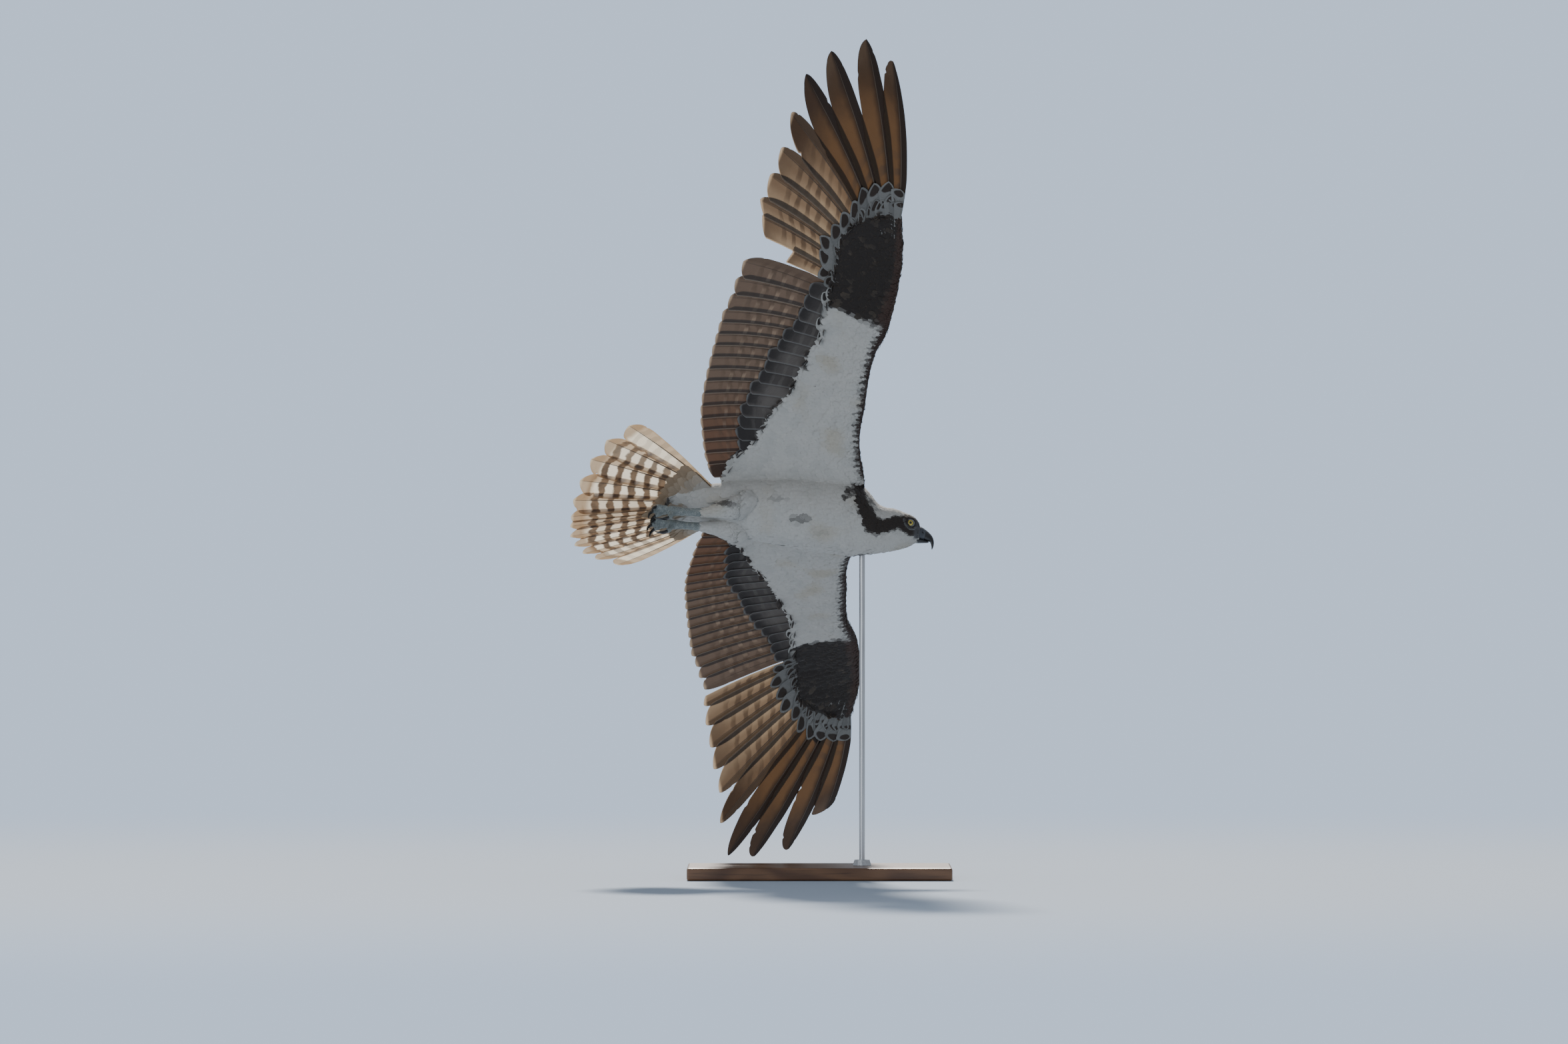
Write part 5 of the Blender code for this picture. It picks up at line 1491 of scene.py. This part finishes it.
billForm = {  # x and height on top, x and height below, half width
    "cere": ((199.5, -8.4, 199.5, -30.6, 10.4), (204.8, -9.0, 204.8, -31.2, 10.2), (208.5, -10.4, 208.5, -31.3, 9.3),
             (212.0, -12.4, 212.2, -31.4, 8.3), (213.6, -13.7, 213.6, -31.3, 7.7)),
    "upper": ((211.0, -13.3, 211.0, -31.2, 7.4), (212.6, -13.0, 212.6, -31.5, 7.9), (216.6, -15.4, 215.2, -31.6, 7.1),
              (220.8, -18.8, 218.0, -31.8, 6.0), (224.6, -22.8, 220.3, -32.2, 4.9), (227.2, -27.6, 222.1, -33.2, 3.8),
              (228.5, -33.0, 223.6, -35.4, 2.8), (228.4, -39.5, 224.8, -39.2, 1.7), (227.2, -43.4, 225.4, -43.0, 0.95),
              (226.6, -45.0, 225.6, -44.8, 0.3)),
    "lower": ((199.5, -31.6, 199.5, -35.6, 9.4), (204.8, -31.6, 204.8, -35.2, 8.6), (211.0, -31.7, 211.0, -34.8, 6.6),
              (217.0, -32.1, 217.0, -34.5, 3.9), (219.6, -32.5, 219.4, -34.1, 1.9), (220.4, -32.9, 220.2, -33.7, 0.5)),
    "sides": 40, "rings": 44, "nostril": (209.2, -20.6, 3.0, 1.15),
}


def billShape(name, kind, finish, narrow, flat):
    table = [(n, *row) for n, row in enumerate(billForm[kind])]
    left, up = headAxes(bodyForm["neckFront"])
    points, place = [], []
    count = billForm["rings"]
    for r in range(count):
        along = (len(table) - 1) * r / (count - 1)
        xTop, top, xLow, low, wide = readTable(table, along)
        upper, lower = headPoint(xTop, top, 0), headPoint(xLow, low, 0)
        middle, high = (upper + lower) / 2, (upper - lower) / 2
        for k in range(billForm["sides"]):
            a = 2 * math.pi * k / billForm["sides"]
            rise = math.sin(a)
            rise = rise if rise > 0 else -(abs(rise) ** flat)
            spot = middle + math.cos(a) * wide * (1 - narrow * max(0, math.sin(a)) ** 2) * left + rise * high
            if kind == "cere":
                nx, nh, long, short = billForm["nostril"]
                h = spot.dot(up)
                gap = math.hypot(((spot.x - nx) * 0.82 - (h - nh) * 0.57) / long, ((spot.x - nx) * 0.57 + (h - nh) * 0.82) / short)
                press = max(0, 1 - gap) ** 0.5 * 1.6
                spot -= left * press * (1 if math.cos(a) > 0 else -1)
                place.append((min(gap, 9.0), along / (len(table) - 1), abs(math.cos(a))))
            else:
                place.append((9.0, along / (len(table) - 1), math.sin(a)))
            points.append(spot)
    made = meshObject(name, points, ringFaces(count, billForm["sides"]), finish, {"place": place}, sharp=50)
    faceOut(made)
    return made


def billFinish(name, gloss, dull):
    made, tree, shader = newFinish(name, 0.26, Coat_Weight=gloss, Coat_Roughness=0.12)
    _, along, turn, _, _ = attribute(tree, "place")
    growth = grain(tree, 1.0, 3.0, vector=joined(tree, along * 30.0, turn * 1.2))
    colour = blend(tree, along.fall(0.05, 0.45) * 0.7, (0.006, 0.006, 0.007), (0.022, 0.025, 0.030))
    colour = blend(tree, growth.rise(0.4, 0.8) * 0.35, colour, (0.05, 0.048, 0.048))
    tree.links.new(colour, shader.inputs["Base Color"])
    tree.links.new((growth * 0.25 + dull).socket, shader.inputs["Roughness"])
    relief(tree, shader, growth, 0.25, 0.0004)
    return made


def cereFinish():
    made, tree, shader = newFinish("cereSkin", 0.45)
    gap, along, turn, _, _ = attribute(tree, "place")
    wrinkle = grain(tree, 1.0, 4.0, vector=joined(tree, along * 12.0, turn * 4.0))
    colour = blend(tree, wrinkle.rise(0.3, 0.7), (0.040, 0.046, 0.056), (0.085, 0.095, 0.11))
    # near-black painted in the nostril dent: painted shade of the open nostril
    colour = blend(tree, gap.fall(0.75, 1.05), colour, (0.003, 0.003, 0.003))
    tree.links.new(colour, shader.inputs["Base Color"])
    relief(tree, shader, wrinkle, 0.5, 0.0006)
    return made


def makeBill():
    horn, underHorn = billFinish("billHorn", 0.35, 0.18), billFinish("underBillHorn", 0.0, 0.5)
    settle(billShape("cere_skin", "cere", cereFinish(), 0.12, 0.8), "cere", "cere")
    settle(billShape("bill_top", "upper", horn, 0.30, 0.7), "bill", "bill_upper")
    settle(billShape("bill_under", "lower", underHorn, 0.0, 1.0), "bill", "bill_lower")


makeEyes()
makeBill()
print("head ready")


# Tarsi and feet: fused by a voxel pass, then covered in small scales, with a cuff at each talon

legPlan = {
    "tarsus": ((-126, 15.5, -54, 7.4), (-138, 14.7, -55, 7.0), (-150, 14, -56, 6.4), (-162, 13.6, -56.6, 5.9),
               (-174, 13.5, -57, 6.2), (-184, 13.5, -57.5, 7.3), (-190, 13.5, -57.5, 7.6)),
    "foot": (-191.5, 13.5, -57.5), "pad": (6.8, 8.5, 7.2),
    "toes": ((-20, 27), (0, 30), (20, 27)), "toeCurl": 35, "hallux": 17, "halluxCurl": 50, "toeRadius": 4.6,
    "talonLength": 24, "talonRadius": 3.0, "talonCurl": 80,
    "voxel": 0.75, "plate": 2.5, "scaleSpacing": 1.15, "scaleSize": 0.72,
}


def sweep(points, radii, around, tall=None):  # rings square to a line, and their faces
    points = np.asarray(points, float)
    ahead = np.gradient(points, axis=0)
    ahead /= np.linalg.norm(ahead, axis=1)[:, None]
    across = np.cross(ahead, (0, 1, 0))
    across /= np.linalg.norm(across, axis=1)[:, None]
    up = np.cross(ahead, across)
    turns = 2 * np.pi * np.arange(around) / around
    radii = np.asarray(radii, float)[:, None, None]
    tall = 1 if tall is None else tall
    rings = points[:, None] + radii * (np.cos(turns)[None, :, None] * across[:, None] * tall
                                       + np.sin(turns)[None, :, None] * up[:, None])
    return rings.reshape(-1, 3), ringFaces(len(points), around)


def arcLine(start, way, down, length, curl, steps):  # an arc that sets out this way and curls down
    points, spot, heading = [], np.array(start, float), np.array(way, float)
    for k in range(steps + 1):
        points.append(spot.copy())
        turn = math.radians(curl) * (k + 0.5) / steps
        heading = math.cos(turn) * np.array(way) + math.sin(turn) * np.array(down)
        spot = spot + heading * length / steps
    return np.array(points), heading


def toeLines(side):
    x, y, z = legPlan["foot"]
    middle = np.array((x, side * y + legShift, z))
    for k, (turn, length) in enumerate((*legPlan["toes"], (0, legPlan["hallux"]))):
        if k == len(legPlan["toes"]):
            way = np.array((0.25, 0, -1)) / math.hypot(0.25, 1)
            down, start, curl = np.array((-1, 0, -0.25)) / math.hypot(0.25, 1), middle + (0.5, 0, -2), legPlan["halluxCurl"]
        else:
            a = math.radians(turn)
            way = np.array((-math.cos(a), side * math.sin(a), 0.12))
            way /= np.linalg.norm(way)
            down, start, curl = np.array((0, 0, -1.0)), middle, legPlan["toeCurl"]
        points, heading = arcLine(start, way, down, length, curl, 24)
        curve = down - down.dot(heading) * heading
        yield points, heading, curve / np.linalg.norm(curve), down


def hornFinish():
    made, tree, shader = newFinish("talonHorn", 0.2, Coat_Weight=0.5, Coat_Roughness=0.08)
    along, turn, _, _, _ = attribute(tree, "place")
    streak = grain(tree, 1.0, 3.0, vector=joined(tree, along * 5.0, turn * 2.5))
    colour = blend(tree, along.fall(0.0, 0.22), (0.006, 0.006, 0.007), (0.06, 0.06, 0.062))
    colour = blend(tree, streak.rise(0.45, 0.8) * 0.4, colour, (0.035, 0.033, 0.032))
    tree.links.new(colour, shader.inputs["Base Color"])
    relief(tree, shader, streak, 0.2, 0.0003)
    return made


def footFinish():
    made, tree, shader = newFinish("footSkin", 0.55)
    raised = attribute(tree, "raised")[3]
    broad = grain(tree, 160.0, 3.0)
    fine = grain(tree, 2600.0, 2.0)
    pale = blend(tree, broad.rise(0.35, 0.65), (0.24, 0.27, 0.265), (0.37, 0.395, 0.375))
    colour = blend(tree, raised.rise(0.15, 0.75), (0.14, 0.158, 0.155), pale)
    tree.links.new(colour, shader.inputs["Base Color"])
    relief(tree, shader, fine, 0.35, 0.0003)
    return made


def scaleTree(finish):  # small domed scales over the skin of the foot, none where the plates run
    tree = bpy.data.node_groups.new("footScales", "GeometryNodeTree")
    face = tree.interface
    face.new_socket(name="Geometry", in_out="INPUT", socket_type="NodeSocketGeometry")
    inputs = {}
    for label, kind in (("Spacing", "NodeSocketFloat"), ("Size", "NodeSocketFloat"), ("Seed", "NodeSocketInt")):
        inputs[label] = face.new_socket(name=label, in_out="INPUT", socket_type=kind).identifier
    face.new_socket(name="Geometry", in_out="OUTPUT", socket_type="NodeSocketGeometry")
    add, link = tree.nodes.new, tree.links.new
    start, end = add("NodeGroupInput"), add("NodeGroupOutput")
    pebbly = add("GeometryNodeInputNamedAttribute")
    pebbly.data_type = "FLOAT"
    pebbly.inputs["Name"].default_value = "pebbly"
    chosen = add("FunctionNodeCompare")
    chosen.operation = "GREATER_THAN"
    link(pebbly.outputs["Attribute"], chosen.inputs[0])
    chosen.inputs[1].default_value = 0.5
    scatter = add("GeometryNodeDistributePointsOnFaces")
    scatter.distribute_method = "POISSON"
    scatter.inputs["Density Max"].default_value = 4.0e6
    link(start.outputs["Geometry"], scatter.inputs["Mesh"])
    link(chosen.outputs[0], scatter.inputs["Selection"])
    link(start.outputs["Spacing"], scatter.inputs["Distance Min"])
    link(start.outputs["Seed"], scatter.inputs["Seed"])
    dome = add("GeometryNodeMeshIcoSphere")
    dome.inputs["Radius"].default_value = 1.0
    dome.inputs["Subdivisions"].default_value = 1
    flat = add("GeometryNodeTransform")
    flat.inputs["Scale"].default_value = (1.0, 1.0, 0.42)
    link(dome.outputs["Mesh"], flat.inputs["Geometry"])
    smooth = add("GeometryNodeSetShadeSmooth")
    link(flat.outputs[0], smooth.inputs["Geometry"])
    share = add("FunctionNodeRandomValue")
    share.data_type = "FLOAT"
    share.inputs[2].default_value, share.inputs[3].default_value = 0.8, 1.15
    link(start.outputs["Seed"], share.inputs["Seed"])
    size = add("ShaderNodeMath")
    size.operation = "MULTIPLY"
    link(share.outputs[1], size.inputs[0])
    link(start.outputs["Size"], size.inputs[1])
    place = add("GeometryNodeInstanceOnPoints")
    link(scatter.outputs["Points"], place.inputs["Points"])
    link(smooth.outputs[0], place.inputs["Instance"])
    link(scatter.outputs["Rotation"], place.inputs["Rotation"])
    link(size.outputs[0], place.inputs["Scale"])
    real = add("GeometryNodeRealizeInstances")
    link(place.outputs[0], real.inputs[0])
    mark = add("GeometryNodeStoreNamedAttribute")
    mark.data_type, mark.domain = "FLOAT", "POINT"
    mark.inputs["Name"].default_value = "raised"
    mark.inputs["Value"].default_value = 1.0
    link(real.outputs[0], mark.inputs["Geometry"])
    both = add("GeometryNodeJoinGeometry")
    link(start.outputs["Geometry"], both.inputs[0])
    link(mark.outputs[0], both.inputs[0])
    paint = add("GeometryNodeSetMaterial")
    paint.inputs["Material"].default_value = finish
    link(both.outputs[0], paint.inputs["Geometry"])
    link(paint.outputs[0], end.inputs[0])
    return tree, inputs


def makeLegs():
    skinLook, hornLook = footFinish(), hornFinish()
    tree, inputs = scaleTree(skinLook)
    for seed, (side, name) in enumerate(sides):
        x, y, z = legPlan["foot"]
        sheaf = Sheaf()
        table = [(k, *row) for k, row in enumerate(legPlan["tarsus"])]
        line = [readTable(table, v) for v in np.linspace(0, len(table) - 1, 40)]
        shank = [(px, side * py + legShift, pz) for px, py, pz, _ in line]
        sheaf.add(*sweep(shank, [r[3] for r in line], 24))
        ball, ballFaces = sweep([(x + legPlan["pad"][0] * 1.15 * math.cos(a), side * y + legShift, z - 0.5) for a in np.linspace(0.05, math.pi - 0.05, 14)],
                                [legPlan["pad"][1] * math.sin(a) for a in np.linspace(0.05, math.pi - 0.05, 14)], 20, legPlan["pad"][2] / legPlan["pad"][1])
        sheaf.add(ball, ballFaces)
        lines = list(toeLines(side))
        for points, heading, curve, down in lines:
            t = np.linspace(0, 1, len(points))
            radii = legPlan["toeRadius"] * (1 - 0.24 * t) * (1 + 0.085 * np.cos(2 * np.pi * t * 2.5))
            radii[-1] *= 0.82
            sheaf.add(*sweep(points, radii, 20))
            cuff = np.array([points[-1] + heading * v for v in (-3.0, -1.5, 0.0, 1.4)])
            sheaf.add(*sweep(cuff, (3.6, 3.7, 3.55, 3.05), 20))
        made = sheaf.finish(f"foot_skin_{name}", None, sharp=0)
        faceOut(made)
        layer = made.modifiers.new("fuse", "REMESH")
        layer.mode, layer.voxel_size = "VOXEL", legPlan["voxel"] * 0.001
        layer.use_smooth_shade = True
        smooth = made.modifiers.new("ease", "SMOOTH")
        smooth.factor, smooth.iterations = 0.5, 3
        plainMesh(made)
        mesh = made.data
        count = len(mesh.vertices)
        spots = np.empty(count * 3, np.float32)
        mesh.vertices.foreach_get("co", spots)
        spots = toBird(spots.reshape(-1, 3).astype(float))
        normals = np.empty(count * 3, np.float32)
        mesh.vertices.foreach_get("normal", normals)
        normals = normals.reshape(-1, 3).astype(float) @ birdMatrix[:3, :3]
        # plates run over the tops of the toes and the front of the shank, small scales everywhere else
        best, along, top = np.full(count, 1e9), np.zeros(count), np.zeros(count)
        for points, back in [(line_[0], -line_[3]) for line_ in lines] + [(np.array(shank), np.array((0, 0, 1.0)))]:
            gaps = np.linalg.norm(spots[:, None] - points[None], axis=2)
            near = gaps.argmin(1)
            step = np.linalg.norm(np.diff(points, axis=0), axis=1).mean()
            ahead = np.gradient(points, axis=0)[near]
            ahead /= np.linalg.norm(ahead, axis=1)[:, None]
            place = near * step + ((spots - points[near]) * ahead).sum(1)
            up = back - (ahead @ back)[:, None] * ahead
            facing = (normals * up).sum(1) / np.linalg.norm(up, axis=1)
            closer = gaps.min(1) < best
            best = np.where(closer, gaps.min(1), best)
            along, top = np.where(closer, place, along), np.where(closer, facing, top)
        phase = (along / legPlan["plate"]) % 1.0
        plate = np.clip((top - 0.1) / 0.3, 0, 1)
        crest = np.minimum(phase / 0.3, 1) * np.minimum((1 - phase) / 0.14, 1)
        spots += normals * (0.42 * plate * (crest - 0.4))[:, None]
        mesh.vertices.foreach_set("co", toWorld(spots).astype(np.float32).ravel())
        mesh.attributes.new("raised", "FLOAT", "POINT").data.foreach_set("value", (plate * crest).astype(np.float32))
        mesh.attributes.new("pebbly", "FLOAT", "POINT").data.foreach_set("value", (plate < 0.5).astype(np.float32))
        layer = made.modifiers.new("scales", "NODES")
        layer.node_group = tree
        for label, value in (("Spacing", legPlan["scaleSpacing"] * 0.001), ("Size", legPlan["scaleSize"] * 0.001), ("Seed", 31 + seed)):
            layer[inputs[label]] = value
        plainMesh(made)
        made.data.attributes.remove(made.data.attributes["pebbly"])
        settle(made, "foot", f"leg_{name}_tarsus", f"foot_{name}")
        print("foot", name, sum(len(p.vertices) - 2 for p in made.data.polygons), "triangles")
        for k, (points, heading, curve, down) in enumerate(lines):
            rings, around = 34, 20
            claw, _ = arcLine(points[-1] - heading * 1.2, heading, curve, legPlan["talonLength"] + 1.4, legPlan["talonCurl"] + 2, rings - 1)
            t = np.linspace(0, 1, rings)
            radii = legPlan["talonRadius"] * (1.02 - 0.2 * t - 0.80 * t ** 2.4)
            radii[-1] = 0.12
            body, faces = sweep(claw, np.maximum(radii, 0.12), around, 0.84)
            place = [(s, math.cos(2 * math.pi * q / around), math.sin(2 * math.pi * q / around)) for s in t for q in range(around)]
            made = meshObject(f"claw_{name}_{k + 1}", body, faces, hornLook, {"place": place}, sharp=50)
            faceOut(made)
            settle(made, "talon", f"talon_{name}_{k + 1}")


makeLegs()
print("feet ready")


# Stand: turned wooden base, brushed collar and rod keep their CAD shapes

def standFinishes():
    wood, tree, shader = newFinish("standWood", 0.38, Coat_Weight=0.25, Coat_Roughness=0.2)
    warp = grain(tree, 9.0, 2.0, stretch=(0.6, 1.6, 1.0))
    place = tree.nodes.new("ShaderNodeTexCoord").outputs["Object"]
    parts = tree.nodes.new("ShaderNodeSeparateXYZ")
    tree.links.new(place, parts.inputs[0])
    _, y, z = (Wire(tree, parts.outputs[k]) for k in range(3))
    rings = ((y * 260.0) + (z * 120.0) + warp * 26.0).sine() * 0.5 + 0.5
    pores = grain(tree, 240.0, 4.0, stretch=(0.06, 1.0, 1.0))
    colour = blend(tree, rings, (0.115, 0.052, 0.024), (0.20, 0.098, 0.045))
    colour = blend(tree, pores.rise(0.5, 0.75) * 0.6, colour, (0.05, 0.022, 0.011))
    tree.links.new(colour, shader.inputs["Base Color"])
    tree.links.new((pores * 0.2 + 0.28).socket, shader.inputs["Roughness"])
    relief(tree, shader, pores, 0.2, 0.0004)
    steel, tree, shader = newFinish("standSteel", 0.3, 1.0)
    brush = grain(tree, 900.0, 3.0, stretch=(1.0, 1.0, 0.02))
    colour = blend(tree, brush.rise(0.3, 0.7), (0.50, 0.51, 0.53), (0.66, 0.67, 0.68))
    tree.links.new(colour, shader.inputs["Base Color"])
    tree.links.new((brush * 0.25 + 0.2).socket, shader.inputs["Roughness"])
    relief(tree, shader, brush, 0.12, 0.0002)
    return wood, steel


wood, steel = standFinishes()
for node, finish in (("stand_base", wood), ("stand_collar", steel), ("stand_rod", steel)):
    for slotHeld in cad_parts[node].material_slots:
        slotHeld.material = finish
print("stand ready")


# Studio: pale floor and backdrop tone, a broad light from behind and above, soft fill

studio = {
    "distance": 20.0, "aimX": -0.0562, "aimZ": 0.567, "lens": 36 * 20 / (2354 * 0.00106),
    "floorRadius": 9.0, "floorColour": (0.44, 0.52, 0.63), "fade": (0.7, 5.0),
    "light": (0.80, 0.86, 0.95), "strength": 0.42, "backdrop": (0.56, 0.69, 0.88), "backdropStrength": 1.15,
}


def makeStudio():
    scene = bpy.context.scene
    world = bpy.data.worlds.new("studioWorld")
    scene.world = world
    world.use_nodes = True
    tree = world.node_tree  # soft light all round; behind the object a plain backdrop tone
    soft = tree.nodes["Background"]
    seen = tree.nodes.new("ShaderNodeBackground")
    for node, colour, strength in ((soft, studio["light"], studio["strength"]),
                                   (seen, studio["backdrop"], studio["backdropStrength"])):
        node.inputs["Color"].default_value = (*colour, 1)
        node.inputs["Strength"].default_value = strength
    path, either = tree.nodes.new("ShaderNodeLightPath"), tree.nodes.new("ShaderNodeMixShader")
    tree.links.new(path.outputs["Is Camera Ray"], either.inputs[0])
    tree.links.new(soft.outputs[0], either.inputs[1])
    tree.links.new(seen.outputs[0], either.inputs[2])
    tree.links.new(either.outputs[0], tree.nodes["World Output"].inputs["Surface"])

    lens = bpy.data.cameras.new("camera")
    lens.lens = studio["lens"]
    lens.sensor_width = 36
    lens.clip_end = 200
    camera = bpy.data.objects.new("camera", lens)
    camera.location = (studio["aimX"], -studio["distance"], studio["aimZ"])
    camera.rotation_euler = (math.pi / 2, 0, 0)
    scene.collection.objects.link(camera)
    scene.camera = camera

    points = [(0, 0, 0)] + [
        (studio["floorRadius"] * math.cos(2 * math.pi * k / 96), studio["floorRadius"] * math.sin(2 * math.pi * k / 96), 0)
        for k in range(96)
    ]
    mesh = bpy.data.meshes.new("floor")
    mesh.from_pydata(points, [], [(0, k + 1, (k + 1) % 96 + 1) for k in range(96)])
    floor = bpy.data.objects.new("floor", mesh)
    floor.location.z = -0.0005
    scene.collection.objects.link(floor)
    finish, tree, shader = newFinish("floorPaint", 0.9)
    mottle = grain(tree, 30.0, 3.0)
    colour = blend(tree, mottle * 0.08, studio["floorColour"], (0.38, 0.45, 0.55))
    tree.links.new(colour, shader.inputs["Base Color"])
    away = tree.nodes.new("ShaderNodeVectorMath")
    away.operation = "LENGTH"
    tree.links.new(tree.nodes.new("ShaderNodeTexCoord").outputs["Object"], away.inputs[0])
    clear, either = tree.nodes.new("ShaderNodeBsdfTransparent"), tree.nodes.new("ShaderNodeMixShader")
    tree.links.new(Wire(tree, away.outputs["Value"]).rise(*studio["fade"]).socket, either.inputs[0])
    tree.links.new(shader.outputs[0], either.inputs[1])
    tree.links.new(clear.outputs[0], either.inputs[2])
    tree.links.new(either.outputs[0], tree.nodes["Material Output"].inputs["Surface"])
    mesh.materials.append(finish)
    floor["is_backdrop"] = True

    def lamp(name, kind, place, aim, energy, size, colour):
        data = bpy.data.lights.new(name, kind)
        data.energy = energy
        data.color = colour
        if kind == "AREA":
            data.shape = "DISK"
            data.size = size
        else:
            data.angle = size
        made = bpy.data.objects.new(name, data)
        made.location = place
        made.rotation_euler = (Vector(aim) - Vector(place)).to_track_quat("-Z", "Y").to_euler()
        scene.collection.objects.link(made)

    middle = (-0.05, 0, 0.6)
    lamp("backLight", "SUN", (-0.3, 3.0, 3.2), middle, 5.2, math.radians(6), (1.0, 0.95, 0.88))
    lamp("fillLight", "AREA", (-2.5, -5.0, 1.2), middle, 60, 3.5, (0.86, 0.92, 1.0))


makeStudio()
box = [[list(corner) for corner in cadBounds], [list(corner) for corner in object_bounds()]]
{"cad": [[float(v) for v in c] for c in box[0]], "visual": [[float(v) for v in c] for c in box[1]]}
